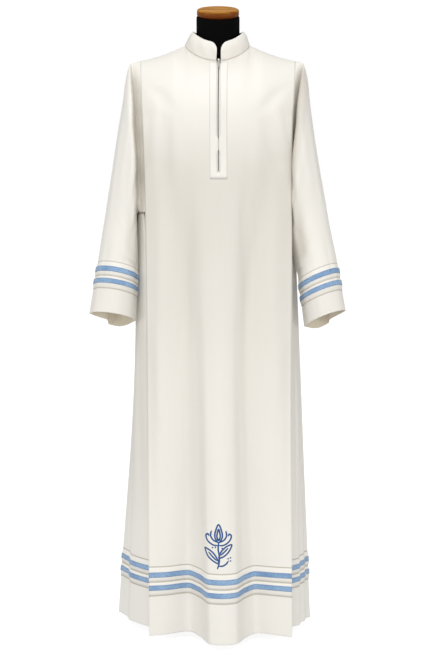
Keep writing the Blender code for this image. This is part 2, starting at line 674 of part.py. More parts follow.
def rod(bm, radius, length, centre, sides=12):
    """A cylinder along X."""
    turn = Matrix.Rotation(math.pi / 2, 4, "Y")
    made = bmesh.ops.create_cone(bm, cap_ends=True, segments=sides, radius1=radius,
                                 radius2=radius, depth=length)["verts"]
    bmesh.ops.transform(bm, matrix=Matrix.Translation(centre) @ turn, verts=made)


def framed(name, finish, frame, shapes, hidden=False):
    """An object from blocks and rods given in the frame's own axes."""
    mesh = bpy.data.meshes.new(name)
    bm = bmesh.new()
    for make, arguments in shapes:
        make(bm, *arguments)
    bm.to_mesh(mesh)
    bm.free()
    if hidden:
        made = bpy.data.objects.new(name, mesh)
        helpers.objects.link(made)
        made.hide_render = True
        made.display_type = "WIRE"
    else:
        made = add_object(name, mesh, finish)
    made.matrix_world = frame
    return made


def combine(target, other, operation):
    step = target.modifiers.new(other.name, "BOOLEAN")
    step.operation = operation
    step.object = other


def build_zip(front_rows):
    low = LEVELS.index(ZIP_END_Z)
    first = FRONT_COLUMNS.index(-CHAIN_HALF)
    last = FRONT_COLUMNS.index(CHAIN_HALF)
    lifted = [row[first:last + 1] for row in moved_out(front_rows, LIE)[low:-1]]
    lifted[0] = [a.lerp(b, 0.03) for a, b in zip(lifted[0], lifted[1])]
    wall("zip_chain", lifted, "metal", CHAIN_RAISE, outward=True)

    length = sum((a[first] - b[first]).length
                 for a, b in zip(front_rows[low:-1], front_rows[low + 1:]))
    stop_frame = zip_frame(front_rows, length - STOP_HEIGHT)
    framed("zip_end_stop", "metal", stop_frame,
           [(block, ((2 * CHAIN_HALF + 0.001, STOP_HEIGHT, 0.0012), (0, 0, 0.0006)))])

    frame = zip_frame(front_rows, SLIDER_DOWN)
    slider = framed("zip_slider", "metal", frame, [
        (block, ((SLIDER_WIDTH, SLIDER_LENGTH, SLIDER_DEPTH), (0, 0, SLIDER_DEPTH / 2)))])
    for x in (-LUG_X, LUG_X):
        lug = framed("lug", "metal", frame, [
            (block, ((LUG_WIDTH, 0.0030, 0.0042), (x, PIN_UP, PIN_OUT - 0.0011)))], True)
        combine(slider, lug, "UNION")
    pin = framed("pin", "metal", frame, [
        (rod, (PIN_RADIUS, 2 * LUG_X, (0, PIN_UP, PIN_OUT)))], True)
    combine(slider, pin, "UNION")

    hinge = frame @ Matrix.Translation((0.0, PIN_UP, PIN_OUT))
    tab = framed("zip_pull_tab", "metal", hinge, [(rod, (EYE_RADIUS, 2 * EYE_HALF, (0, 0, 0), 16))])
    shank = framed("shank", "metal", hinge, [
        (block, ((2 * EYE_HALF, 0.0040, TAB_THICKNESS), (0, -0.0030, 0)))], True)
    plate = framed("plate", "metal", hinge, [
        (block, ((TAB_WIDTH, TAB_LENGTH - 0.0040, TAB_THICKNESS),
                 (0, -(TAB_LENGTH + 0.0040) / 2, 0)))], True)
    bore = framed("bore", "metal", hinge, [(rod, (BORE_RADIUS, 0.02, (0, 0, 0), 16))], True)
    combine(tab, shank, "UNION")
    combine(tab, plate, "UNION")
    combine(tab, bore, "DIFFERENCE")


# ---------------------------------------------------------------- dress form
def form_rows(columns_x, front):
    """One half of the form, its top following the inside of the robe's shoulders."""
    rows = []
    sign = -1.0 if front else 1.0
    for z, half_x, depth_f, depth_b in FORM_RINGS:
        depth = depth_f if front else depth_b
        row = []
        for c in columns_x:
            y = depth * (1.0 - abs(c) ** FORM_ROUND) ** (1.0 / FORM_ROUND)
            row.append(Vector((NECK_X / 2 + half_x * c, sign * y, z)))
        rows.append(row)
    for climb in (0.0, 0.2, 0.38, 0.54, 0.68, 0.80, 0.90, 0.97, 1.0):
        row = []
        for c in columns_x:
            row.append(form_shoulder(c, climb, sign))
        rows.append(row)
    return rows


def form_shoulder(c, climb, sign):
    """Shoulder part: narrower than the robe's profile and level with it at the seam."""
    half = 0.1800
    x_top = NECK_X / 2 + half * c
    depth = 0.1180 if sign < 0 else 0.0800
    base = depth * max(0.0, 1.0 - abs(c) ** FORM_ROUND) ** (1.0 / FORM_ROUND)
    beyond = abs(x_top - NECK_X) - NECK_HALF
    if beyond < 0.0:
        ridge = NECK_SIDE_Z - 0.010 * ease(-beyond / 0.03)
    else:
        ridge = top_point(x_top, True).z
    under = CLOTH + FORM_GAP + 0.0004
    round_off = 0.060 * max(0.0, (abs(c) - 0.80) / 0.20) ** 2.2
    ridge = ridge - under - round_off
    angle = climb * math.pi / 2
    rise = math.sin(angle)
    rest = math.cos(angle) ** (RIDGE_POWER + 0.15)
    x_base = NECK_X / 2 + 0.1640 * c
    low = 1.320
    return Vector((lerp(x_base, x_top, rise), sign * base * rest, lerp(low, ridge, rise)))


def build_form():
    columns = [math.sin(math.pi / 2 * (i / 8.0 - 1.0)) for i in range(17)]
    front = form_rows(columns, True)
    back = form_rows(columns, False)
    bm = bmesh.new()
    rings = []
    for front_row, back_row in zip(front[:-1], back[:-1]):
        rings.append([bm.verts.new(p) for p in front_row]
                     + [bm.verts.new(p) for p in reversed(back_row[1:-1])])
    count = len(rings[0])
    for low, high in zip(rings[:-1], rings[1:]):
        for i in range(count):
            n = (i + 1) % count
            bm.faces.new((low[i], low[n], high[n], high[i]))
    ridge = [bm.verts.new(p) for p in front[-1][1:-1]]
    last = rings[-1]
    width = len(columns)
    top = [last[0]] + ridge + [last[width - 1]]
    for i in range(width - 1):
        corners = [last[i], last[i + 1], top[i + 1], top[i]]
        unique = list(dict.fromkeys(corners))
        bm.faces.new(unique)
        back_i = [last[(count - i) % count], top[i], top[i + 1], last[(count - i - 1) % count]]
        unique = list(dict.fromkeys(back_i))
        bm.faces.new(unique)
    bm.faces.new(list(reversed(rings[0])))
    bmesh.ops.recalc_face_normals(bm, faces=bm.faces)
    mesh = bpy.data.meshes.new("form_body")
    bm.to_mesh(mesh)
    bm.free()
    mesh.shade_smooth()
    body = add_object("form_body", mesh, "jersey")

    bpy.ops.mesh.primitive_cylinder_add(vertices=32, radius=NECK_RADIUS, depth=1.0)
    neck = bpy.context.object
    neck.name = "neck_column"
    for vert in neck.data.vertices:
        if vert.co.z > 0:
            vert.co.z = NECK_TOP_Z + vert.co.y * math.tan(CAP_TILT)
        else:
            vert.co.z = 1.440
        vert.co.x += NECK_X / 2
    move_to(neck, helpers)
    neck.hide_render = True
    neck.display_type = "WIRE"
    join = body.modifiers.new("neck", "BOOLEAN")
    join.operation = "UNION"
    join.object = neck


def build_cap():
    bpy.ops.mesh.primitive_cylinder_add(vertices=40, radius=CAP_RADIUS, depth=CAP_THICKNESS)
    cap = bpy.context.object
    cap.name = "form_cap"
    cap.data.name = "form_cap"
    cap.data.materials.append(material("wood"))
    move_to(cap, parts)
    up = Vector((0.0, -math.sin(CAP_TILT), math.cos(CAP_TILT)))
    cap.location = Vector((NECK_X / 2, 0.0, NECK_TOP_Z)) + up * (CAP_THICKNESS / 2 + 0.0004)
    cap.rotation_euler = (CAP_TILT, 0.0, 0.0)
    rim = cap.modifiers.new("rim", "BEVEL")
    rim.width = 0.006
    rim.segments = 3
    rim.limit_method = "ANGLE"


def build_stand():
    bpy.ops.mesh.primitive_cylinder_add(vertices=48, radius=1.0, depth=BASE_THICKNESS)
    base = bpy.context.object
    base.name = "form_base"
    for vert in base.data.vertices:
        vert.co.x *= BASE_HALF_X
        vert.co.y = vert.co.y * BASE_HALF_Y + BASE_Y
        vert.co.z += BASE_THICKNESS / 2
    base.data.materials.append(material("steel"))
    move_to(base, parts)

    foot = BASE_THICKNESS + 0.0003
    head = FORM_RINGS[0][0] - 0.0003
    bpy.ops.mesh.primitive_cylinder_add(vertices=24, radius=POLE_RADIUS, depth=head - foot,
                                        location=(0.0, 0.005, (head + foot) / 2))
    pole = bpy.context.object
    pole.name = "form_pole"
    pole.data.materials.append(material("steel"))
    move_to(pole, parts)


# ---------------------------------------------------------------- build
for old in list(bpy.data.objects):
    bpy.data.objects.remove(old, do_unlink=True)
parts = bpy.data.collections.new("alb_robe")
helpers = bpy.data.collections.new("helpers")
bpy.context.scene.collection.children.link(parts)
bpy.context.scene.collection.children.link(helpers)

front_rows = panel_rows(FRONT_COLUMNS, True)
back_rows = panel_rows(BACK_COLUMNS, False)
side_panels = {"left": side_rows(SIDE_LEFT, "left"), "right": side_rows(SIDE_RIGHT, "right")}
left_rows = [row[::-1] for row in side_panels["left"]]
right_rows = side_panels["right"]
wall("front_panel", front_rows)
wall("back_panel", back_rows)
wall("side_panel_left", left_rows)
wall("side_panel_right", right_rows)

for side, table in (("left", LEFT_RINGS), ("right", RIGHT_RINGS)):
    seam_ring = armhole(side, front_rows, back_rows, side_panels[side][-1])
    sleeve = sleeve_rows(side, seam_ring, table)
    wall("sleeve_" + side, sleeve, wrap=True)
    for name, low in (("lower", 2), ("upper", 4)):
        ribbon("sleeve_ribbon_%s_%s" % (name, side), sleeve, low, wrap=True)
wall("collar", collar_rows(front_rows[-1], back_rows[-1][::-1]))

for place, rows in (("front", front_rows), ("back", back_rows),
                    ("left", left_rows), ("right", right_rows)):
    for name, low in (("lower", 1), ("upper", 3)):
        ribbon("hem_ribbon_%s_%s" % (name, place), rows, low)

build_placket(front_rows)
build_zip(front_rows)
build_form()
build_cap()
build_stand()
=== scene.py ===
"""Looks of an alb robe on a limbless dress form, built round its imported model.

Metres, +Z up; the front faces -Y and the right-hand side of the view is +X.
Each piece of cloth is a thin shell on the sections of its solid, cut finer,
with creases, raised ribbon bands, seams and stitches worked out on it.
"""

import bisect
import itertools
import json
import math

import bmesh
import bpy
from mathutils import Matrix, Vector


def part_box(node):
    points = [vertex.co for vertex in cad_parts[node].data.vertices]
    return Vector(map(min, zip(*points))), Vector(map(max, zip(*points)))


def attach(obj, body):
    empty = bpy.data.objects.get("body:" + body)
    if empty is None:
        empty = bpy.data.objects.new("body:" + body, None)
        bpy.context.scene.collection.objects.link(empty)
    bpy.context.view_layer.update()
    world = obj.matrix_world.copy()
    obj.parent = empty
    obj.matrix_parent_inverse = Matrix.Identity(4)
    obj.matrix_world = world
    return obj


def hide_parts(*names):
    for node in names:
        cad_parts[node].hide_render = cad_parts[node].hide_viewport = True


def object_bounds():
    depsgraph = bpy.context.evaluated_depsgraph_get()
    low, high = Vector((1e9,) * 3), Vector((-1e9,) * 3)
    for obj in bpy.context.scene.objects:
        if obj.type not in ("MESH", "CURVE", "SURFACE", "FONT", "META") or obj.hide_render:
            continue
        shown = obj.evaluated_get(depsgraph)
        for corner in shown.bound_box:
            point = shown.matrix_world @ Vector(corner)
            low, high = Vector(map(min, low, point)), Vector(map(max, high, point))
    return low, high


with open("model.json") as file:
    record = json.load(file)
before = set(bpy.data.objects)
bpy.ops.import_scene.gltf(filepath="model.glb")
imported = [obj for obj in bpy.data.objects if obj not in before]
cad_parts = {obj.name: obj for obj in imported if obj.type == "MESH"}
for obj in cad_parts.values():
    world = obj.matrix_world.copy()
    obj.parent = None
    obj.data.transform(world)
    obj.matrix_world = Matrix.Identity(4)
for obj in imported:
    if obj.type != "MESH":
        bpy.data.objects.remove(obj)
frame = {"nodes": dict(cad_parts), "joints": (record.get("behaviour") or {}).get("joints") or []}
cad_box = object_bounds()

ROBE = "robe_on_form"
TAB = "pull_tab"
TINY = 1e-9
TURN = 2.0 * math.pi

# ---------------------------------------------------------------- sizes of the robe
SHELL = 0.001  # thickness of the cloth shells
SEAM = 0.0002  # gap between two edges that are sewn together
CAD_SEAM = 0.0006
CAD_CLOTH = 0.0016
HEM_Z = 0.0215
UNDERARM_Z = 1.105
CHEST_Z = 1.345
FOLD_TOP_Z = 1.23
MID_Z = 0.79
NECK_X = -0.003
NECK_HALF = 0.082
NECK_FRONT_Y = -0.075
NECK_BACK_Y = 0.064
NECK_FRONT_Z = 1.4785
NECK_SIDE_Z = 1.52
NECK_BACK_Z = 1.515
SHOULDER_LEFT_X = -0.1975
SHOULDER_RIGHT_X = 0.1945
SHOULDER_Z = 1.482
RIDGE_POWER = 1.35
FLAT_CLIMB = 0.965
COLLAR_HEIGHT = 0.037
COLLAR_LAP = 0.0006  # how far the collar's foot dips below the neckline
COLLAR_FRONT_EXTRA = 0.01
COLLAR_TOP_HALF = 0.0635
COLLAR_TOP_FRONT = 0.061
COLLAR_TOP_BACK = 0.063
COLLAR_BOW = 0.003
COLLAR_RIPPLE = 0.0013  # soft uneven places in front
COLLAR_FOOT = 0.07
COLLAR_OPENING = 0.0056
COLLAR_CORNER = 0.021
ZIP_END_Z = 1.204
PLACKET_END_Z = 1.188
PLACKET_HALF = 0.0225
ZIP_SLOT_HALF = 0.005
CHAIN_HALF = 0.0023

# Edges of the two wide panels. left and right are X, front_y and back_y are the
# depth of the front panel's and the back panel's edges.
EDGES = [
    # z, left, right, front_l, front_r, back_y
    (HEM_Z, -0.178, 0.1885, -0.149, -0.158, 0.125),
    (0.226, -0.1785, 0.189, -0.142, -0.149, 0.119),
    (0.79, -0.1814, 0.1851, -0.109, -0.111, 0.092),
    (1.136, -0.1858, 0.1841, -0.078, -0.078, 0.07),
    (1.3, -0.19, 0.1855, -0.07, -0.07, 0.064),
    (1.4, -0.1935, 0.1895, -0.06, -0.06, 0.056),
    (1.4826, -0.1975, 0.1945, -0.06, -0.06, 0.056),
]

# Folds of the front panel, a row for each trough, lobe or flat, left to right.
FRONT_FOLDS = [
    # place, x_mid, y_mid, x_hem, y_hem (mid is at MID_Z)
    ("edge", -0.1814, -0.109, -0.178, -0.149),
    ("flat", -0.138, -0.133, -0.13, -0.133),
    ("trough", -0.088, -0.122, -0.079, -0.114),
    ("flank", -0.059, -0.133, -0.047, -0.152),
    ("lobe", -0.033, -0.152, -0.02, -0.206),
    ("lobe", 0.002, -0.159, 0.012, -0.212),
    ("lobe", 0.033, -0.152, 0.044, -0.204),
    ("flank", 0.052, -0.138, 0.07, -0.159),
    ("trough", 0.074, -0.124, 0.102, -0.127),
    ("flat", 0.129, -0.134, 0.145, -0.139),
    ("edge", 0.1851, -0.111, 0.1885, -0.158),
]

# Side panels: sections at the underarm, the middle and the hem, from behind the
# front panel's edge, round the tucked fold, out to the corner and to the back.
SIDE_LEFT = [
    # place, x_top, y_top, x_mid, y_mid, x_hem, y_hem
    ("tuck_in", -0.1855, -0.0735, -0.164, -0.101, -0.148, -0.118),
    ("tuck_turn", -0.185, -0.069, -0.158, -0.094, -0.14, -0.108),
    ("tuck_out", -0.186, -0.064, -0.164, -0.087, -0.148, -0.099),
    ("passes", -0.1895, -0.067, -0.188, -0.074, -0.184, -0.077),
    ("soft_fold", -0.2015, -0.048, -0.206, -0.046, -0.226, -0.04),
    ("corner_in", -0.2115, -0.006, -0.216, -0.015, -0.259, 0.002),
    ("corner", -0.2125, 0.017, -0.2165, 0.007, -0.27, 0.025),
    ("back_turn", -0.201, 0.042, -0.206, 0.048, -0.248, 0.076),
    ("near_seam", -0.189, 0.062, -0.192, 0.083, -0.205, 0.112),
]
SIDE_RIGHT = [
    ("tuck_in", 0.1825, -0.0735, 0.166, -0.103, 0.158, -0.126),
    ("tuck_turn", 0.1818, -0.069, 0.16, -0.096, 0.15, -0.116),
    ("tuck_out", 0.1822, -0.064, 0.166, -0.089, 0.158, -0.107),
    ("passes", 0.1835, -0.056, 0.188, -0.074, 0.192, -0.08),
    ("soft_fold", 0.188, -0.033, 0.1985, -0.046, 0.217, -0.062),
    ("corner_in", 0.1935, -0.006, 0.208, -0.015, 0.234, -0.04),
    ("corner", 0.1945, 0.017, 0.2092, 0.007, 0.244, -0.015),
    ("back_turn", 0.191, 0.042, 0.2015, 0.048, 0.233, 0.05),
    ("near_seam", 0.185, 0.062, 0.188, 0.083, 0.208, 0.106),
]

# Sleeves: out_* is the point of the ring away from the body (the shoulder line),
# in_* the point next to the body (the underarm line); front and back are the
# depths on either side, and lean drops the ring's back edge below its front one.
# Rings above the cuff are ovals; cuff is the share of the cuff's own section.
LEFT_RINGS = [
    # out_x, out_y, out_z, in_x, in_y, in_z, front, back, lean, cuff
    (-0.2225, -0.001, 1.475, -0.208, -0.022, 1.08, 0.062, 0.052, 0.5, 0.0),
    (-0.2255, -0.001, 1.4712, -0.2066, -0.034, 1.07, 0.072, 0.058, 1.0, 0.0),
    (-0.234, -0.001, 1.44, -0.2062, -0.044, 1.05, 0.077, 0.06, 2.0, 0.0),
    (-0.243, -0.002, 1.38, -0.2055, -0.051, 1.03, 0.074, 0.06, 4.0, 0.0),
    (-0.256, -0.006, 1.305, -0.205, -0.056, 1.012, 0.069, 0.058, 6.0, 0.1),
    (-0.27, -0.012, 1.215, -0.2046, -0.06, 0.996, 0.064, 0.055, 8.0, 0.2),
    (-0.2835, -0.022, 1.13, -0.2044, -0.062, 0.98, 0.06, 0.052, 11.0, 0.35),
    (-0.298, -0.038, 1.04, -0.2044, -0.063, 0.968, 0.056, 0.05, 14.0, 0.6),
]
RIGHT_RINGS = [
    (0.213, -0.001, 1.474, 0.1845, -0.016, 1.08, 0.062, 0.052, 0.5, 0.0),
    (0.2165, -0.001, 1.47, 0.184, -0.026, 1.07, 0.072, 0.058, 1.0, 0.0),
    (0.226, -0.001, 1.435, 0.1838, -0.036, 1.05, 0.077, 0.06, 2.0, 0.0),
    (0.2325, -0.002, 1.375, 0.1842, -0.046, 1.028, 0.074, 0.06, 4.0, 0.0),
    (0.243, -0.006, 1.3, 0.1856, -0.05, 1.01, 0.069, 0.056, 6.0, 0.1),
    (0.258, -0.012, 1.21, 0.1885, -0.053, 0.992, 0.064, 0.052, 8.0, 0.2),
    (0.2725, -0.022, 1.13, 0.1928, -0.056, 0.972, 0.06, 0.05, 11.0, 0.35),
    (0.288, -0.038, 1.045, 0.1968, -0.059, 0.957, 0.056, 0.048, 14.0, 0.6),
]
# In front the first of them bow in towards the body, as a share of BOW.
BOWED = (1.0, 1.0, 0.65, 0.35, 0.15)
BOW = {"left": 0.007, "right": 0.012}
# The first rings keep to the armhole seam: how far each stands from it, away from the
# body, behind it and above it, at shares of the way round (0 at the shoulder, 0.5 below).
SEAM_RINGS = [
    [  # the seam allowance tucks in behind the panel's edge
        # share, away, behind, up
        (0.0, 0.001, 0.0, 0.0),
        (0.04, 0.0008, 0.0004, 0.0),
        (0.12, 0.0, 0.002, 0.0),
        (0.25, -0.0006, 0.006, 0.0),
        (0.33, -0.0008, 0.0085, 0.0),
        (0.38, -0.0006, 0.006, 0.0),
        (0.41, -0.0002, 0.0035, 0.0),
        (0.43, 0.0006, 0.0025, -0.0002),
        (0.45, 0.001, 0.002, -0.0006),
        (0.5, 0.001, 0.0, -0.001),
        (0.6, 0.0012, -0.001, 0.0),
        (0.96, 0.001, -0.0005, 0.0),
        (1.0, 0.001, 0.0, 0.0),
    ],
    [  # the recessed strip beside it
        (0.0, 0.009, 0.0, -0.0012),
        (0.04, 0.0088, 0.006, -0.0012),
        (0.12, 0.0064, 0.015, 0.0),
        (0.25, 0.005, 0.02, 0.0),
        (0.33, 0.0048, 0.022, 0.0),
        (0.38, 0.0044, 0.013, 0.0),
        (0.41, 0.004, 0.007, 0.0),
        (0.43, 0.0036, 0.005, -0.0002),
        (0.45, 0.0036, 0.005, -0.0006),
        (0.47, 0.0036, 0.0056, -0.0014),
        (0.5, 0.005, -0.002, -0.004),
        (0.54, 0.007, -0.002, -0.002),
        (0.57, 0.008, -0.003, 0.0),
        (0.6, 0.0085, -0.005, 0.001),
        (0.66, 0.01, -0.007, 0.0),
        (0.75, 0.01, -0.01, 0.0),
        (0.96, 0.009, -0.003, -0.0006),
        (1.0, 0.009, 0.0, -0.0012),
    ],
    [  # the groove between the strip and the sleeve
        (0.0, 0.022, 0.0, -0.005),
        (0.04, 0.021, 0.015, -0.005),
        (0.12, 0.017, 0.027, 0.0),
        (0.25, 0.014, 0.031, 0.0),
        (0.33, 0.0138, 0.035, 0.0),
        (0.38, 0.013, 0.027, -0.0003),
        (0.41, 0.0118, 0.0205, -0.0006),
        (0.43, 0.0105, 0.017, -0.001),
        (0.45, 0.0088, 0.0135, -0.002),
        (0.47, 0.0068, 0.0117, -0.0044),
        (0.5, 0.007, -0.004, -0.013),
        (0.54, 0.011, -0.008, -0.008),
        (0.57, 0.014, -0.012, -0.002),
        (0.6, 0.017, -0.017, 0.002),
        (0.66, 0.019, -0.019, 0.002),
        (0.75, 0.019, -0.02, 0.0),
        (0.96, 0.0215, -0.007, -0.003),
        (1.0, 0.022, 0.0, -0.005),
    ],
]
NARROW = {"left": 0.0, "right": 0.5}  # how much narrower that strip is below the shoulder
# The last stretch is straight: the cuff's ring, and the same ring CUFF_RUN above it.
CUFFS = {
    # side: out_x, out_y, out_z, in_x, in_y, in_z, front, back, lean, cuff
    "left": (-0.328, -0.083, 0.8487, -0.2104, -0.074, 0.829, 0.05, 0.054, 19.0, 1.0),
    "right": (0.3227, -0.083, 0.8554, 0.2177, -0.074, 0.8139, 0.05, 0.054, 19.0, 1.0),
}
CUFF_RUN = 0.14
CUFF_RUN_TOP = {
    "left": (-0.307, -0.05, 0.981, -0.2048, -0.06, 0.962, 0.054, 0.05, 17.0, 1.0),
    "right": (0.3, -0.05, 0.988, 0.2008, -0.06, 0.946, 0.054, 0.05, 17.0, 1.0),
}
# Section of the cuff: share of the width from the outer crease to the inner one,
# and the depth there as a share of front and back. The back layer steps out.
CUFF_SECTION = [
    # across, front, back
    (0.0, 0.0, 0.0),
    (0.12, 0.55, 0.2),
    (0.25, 0.8, 0.32),
    (0.38, 0.95, 0.42),
    (0.42, 0.98, 0.48),
    (0.45, 1.0, 0.92),
    (0.6, 1.0, 1.0),
    (0.75, 0.88, 0.98),
    (0.9, 0.58, 0.68),
    (1.0, 0.0, 0.0),
]
CUFF_DROP = {-1.0: 0.009, 1.0: 0.002}  # how much lower the cuff's back layer hangs, left and right
# Painted shade on a sleeve beside the body, and half as much along its fold streak.
BESIDE_PAINTED_SHADE = {"left": 0.26, "right": 0.5}
BACK_SKEW = 0.45  # how far a ring's back layer swings away from the body
# Painted shade on the seam's rings, the lip and the fold, 0 to 1.
SHADE = {"left": (0.0, 0.1, 0.12, 0.6, 0.45, 0.2, 0.0, 0.0),
         "right": (0.0, 0.2, 0.5, 1.0, 1.0, 0.8, 0.4, 0.0)}


# ---------------------------------------------------------------- looks of the cloth
# Ribbon bands: two rounded welts, each with a ribbon on it. height is above the hem,
# out is how far the welt stands out, tone is how much painted shade the cloth has there
# (0 to 1): a dark shadow line at each welt's foot, fading up its lower side, and a dark
# line along the band's top seam.
WELTS = [
    # height, out, tone
    (0.0, 0.0, 0.0),
    (0.098, 0.0, 0.0),
    (0.1022, 0.0, 0.1),
    (0.1036, 0.0, 1.0),
    (0.1052, 0.0002, 1.0),
    (0.1072, 0.0007, 0.35),
    (0.11, 0.0014, 0.12),
    (0.115, 0.0022, 0.0),
    (0.119, 0.0024, 0.0),
    (0.132, 0.0023, 0.0),
    (0.1362, 0.0016, 0.0),
    (0.1384, 0.0005, 0.3),
    (0.1392, 0.0002, 1.0),
    (0.1408, 0.0003, 0.9),
    (0.1432, 0.0011, 0.4),
    (0.1465, 0.002, 0.08),
    (0.149, 0.0023, 0.0),
    (0.153, 0.0024, 0.0),
    (0.166, 0.0021, 0.0),
    (0.174, 0.001, 0.0),
    (0.178, 0.0003, 0.1),
    (0.179, 0.0, 1.0),
    (0.1808, 0.0, 1.0),
    (0.182, 0.0, 0.1),
    (0.185, 0.0, 0.0),
]
WELT_TOP = 0.19  # fine rows are laid from WELT_LOW to here
WELT_LOW = 0.096
RIBBONS = {"lower": (0.119, 0.132), "upper": (0.153, 0.166)}
CUFF_RIBBONS = {"lower": (0.077, 0.089), "upper": (0.108, 0.121)}
RIBBON_DROP = {"left": 0.0, "right": 0.01}  # how much nearer the cuff's edge they sit
RIBBON_EDGE = 0.001  # the darker woven edge of a ribbon
RIBBON_LIFT = 0.0003
RIBBON_THICKNESS = 0.0005
# The same places on a sleeve, measured from the cuff's edge.
ON_BODY = (0.0, 0.08, 0.1042, 0.119, 0.132, 0.1394, 0.153, 0.166, 0.18, 0.19)
ON_SLEEVE = (0.0, 0.045, 0.063, 0.077, 0.089, 0.0955, 0.108, 0.121, 0.133, 0.14)

# Creases: a soft trough from (x0, z0) to (x1, z1), bent sideways by bow at its middle;
# width is half its width and depth how deep it is (a ridge where depth is negative).
FRONT_CREASES = [
    # x0, z0, x1, z1, bow, width, depth
    (-0.17, 1.425, -0.118, 1.345, 0.006, 0.03, 0.0034),
    (-0.128, 1.365, -0.15, 1.15, 0.006, 0.022, 0.0032),
    (-0.152, 1.395, -0.168, 1.2, 0.0, 0.018, -0.0026),
    (-0.1, 1.33, -0.112, 1.08, 0.004, 0.024, -0.0022),
    (0.172, 1.425, 0.104, 1.34, -0.006, 0.03, 0.0034),
    (0.108, 1.36, 0.16, 1.18, -0.004, 0.022, 0.0034),
    (0.14, 1.39, 0.172, 1.22, 0.0, 0.018, -0.0026),
    (0.088, 1.33, 0.118, 1.06, -0.004, 0.024, -0.0022),
    (0.066, 1.5, 0.098, 1.455, -0.003, 0.012, 0.0008),
    (-0.04, 1.18, -0.052, 0.78, 0.004, 0.026, -0.0016),
    (0.036, 1.19, 0.048, 0.8, -0.003, 0.024, -0.0018),
    (-0.075, 1.22, -0.096, 0.7, 0.006, 0.022, 0.0026),
    (0.066, 1.24, 0.08, 0.76, -0.004, 0.02, 0.0026),
    (-0.01, 1.18, -0.012, 0.9, 0.003, 0.018, 0.001),
    (0.12, 0.9, 0.128, 0.42, 0.004, 0.022, 0.0018),
    (-0.12, 0.98, -0.126, 0.52, -0.004, 0.024, 0.0016),
    (-0.156, 0.9, -0.16, 0.33, 0.003, 0.014, -0.0012),
    (0.16, 0.86, 0.166, 0.3, -0.002, 0.014, -0.0012),
    (-0.02, 0.62, -0.008, 0.24, 0.002, 0.018, -0.0012),
    (0.03, 0.56, 0.04, 0.26, 0.002, 0.016, 0.0012),
]
BACK_CREASES = [
    (-0.15, 1.42, -0.1, 1.33, 0.006, 0.028, 0.0036),
    (0.148, 1.42, 0.092, 1.335, -0.006, 0.028, 0.0036),
    (-0.11, 1.34, -0.13, 1.08, 0.005, 0.024, 0.003),
    (0.104, 1.34, 0.134, 1.1, -0.005, 0.024, 0.003),
    (-0.06, 1.3, -0.072, 0.82, 0.004, 0.026, -0.0022),
    (0.062, 1.28, 0.07, 0.84, -0.004, 0.026, -0.0022),
    (0.004, 1.26, 0.008, 0.76, 0.004, 0.024, 0.002),
    (-0.03, 0.7, -0.024, 0.26, 0.003, 0.02, -0.0014),
    (0.09, 0.76, 0.096, 0.28, -0.003, 0.022, 0.0018),
    (-0.1, 0.74, -0.106, 0.3, 0.003, 0.022, 0.0018),
    (-0.155, 1.0, -0.158, 0.42, 0.002, 0.016, -0.0012),
    (0.155, 0.96, 0.16, 0.38, -0.002, 0.016, -0.0012),
]
# On a side panel the first and third numbers are shares of the panel's width.
SIDE_CREASES = {
    "left": [
        (0.64, 0.98, 0.6, 0.42, 0.02, 0.06, 0.0026),
        (0.52, 0.94, 0.5, 0.26, 0.015, 0.055, -0.002),
        (0.76, 0.9, 0.8, 0.3, -0.02, 0.06, 0.0022),
        (0.88, 1.02, 0.9, 0.5, 0.01, 0.04, -0.0014),
        (0.44, 0.7, 0.43, 0.3, 0.01, 0.04, 0.0014),
    ],
    "right": [
        (0.62, 0.96, 0.64, 0.4, -0.02, 0.06, 0.0026),
        (0.5, 0.9, 0.52, 0.26, -0.015, 0.055, -0.002),
        (0.78, 0.94, 0.76, 0.32, 0.02, 0.06, 0.0022),
        (0.9, 1.0, 0.88, 0.46, 0.01, 0.04, -0.0014),
        (0.43, 0.76, 0.45, 0.28, 0.01, 0.04, 0.0014),
    ],
}
# Pleats low on a side panel: the share of its width where the cloth steps back, and how far.
SIDE_FOLDS = {"left": [(0.535, 0.005)], "right": [(0.475, 0.004), (0.575, 0.0035)]}
# On a sleeve they are shares of the way round: 0 at the shoulder line, 0.25 in
# front, 0.5 next to the body, 0.75 behind. Widths are shares of the way round too.
SLEEVE_CREASES = [
    (0.2, 1.44, 0.23, 1.12, 0.01, 0.04, 0.0024),
    (0.12, 1.4, 0.14, 1.06, -0.01, 0.04, -0.0018),
    (0.32, 1.3, 0.3, 1.02, 0.012, 0.035, 0.0022),
    (0.4, 1.18, 0.34, 1.0, 0.015, 0.045, 0.0012),
    (0.44, 1.12, 0.24, 1.0, 0.02, 0.04, 0.0009),
    (0.26, 1.1, 0.27, 0.96, 0.005, 0.035, -0.0014),
    (0.16, 1.06, 0.15, 0.9, 0.005, 0.03, 0.0012),
    (0.65, 1.36, 0.7, 1.08, 0.01, 0.04, 0.0024),
    (0.78, 1.4, 0.76, 1.06, -0.01, 0.045, -0.0018),
    (0.86, 1.3, 0.83, 0.98, 0.01, 0.035, 0.0018),
    (0.56, 1.12, 0.66, 0.98, 0.012, 0.03, 0.0018),
    (0.06, 1.3, 0.05, 1.0, 0.006, 0.03, 0.0012),
]


# ---------------------------------------------------------------- small helpers
def lerp(a, b, t):
    return a + (b - a) * t


def ease(t):
    """From 0 to 1 with t, slow at both ends."""
    t = min(max(t, 0.0), 1.0)
    return t * t * (3.0 - 2.0 * t)


def bell(x, middle, width):
    return math.exp(-((x - middle) / width) ** 2)


def nearest(values, wanted):
    """Index of the value nearest to the wanted one."""
    return min(range(len(values)), key=lambda i: abs(values[i] - wanted))


def stretch_at(values, at):
    """Index of the stretch between rising values that at lies in."""
    return bisect.bisect_left(values, at, 1, len(values) - 1) - 1


def last_within(values, limit):
    """Index of the last value, short of the final one, that isn't above the limit."""
    return max(i for i, value in enumerate(values[:-1]) if value <= limit)


def lengths_along(points):
    """Running length at each point of a line."""
    steps = ((b - a).length for a, b in zip(points[:-1], points[1:]))
    return list(itertools.accumulate(steps, initial=0.0))


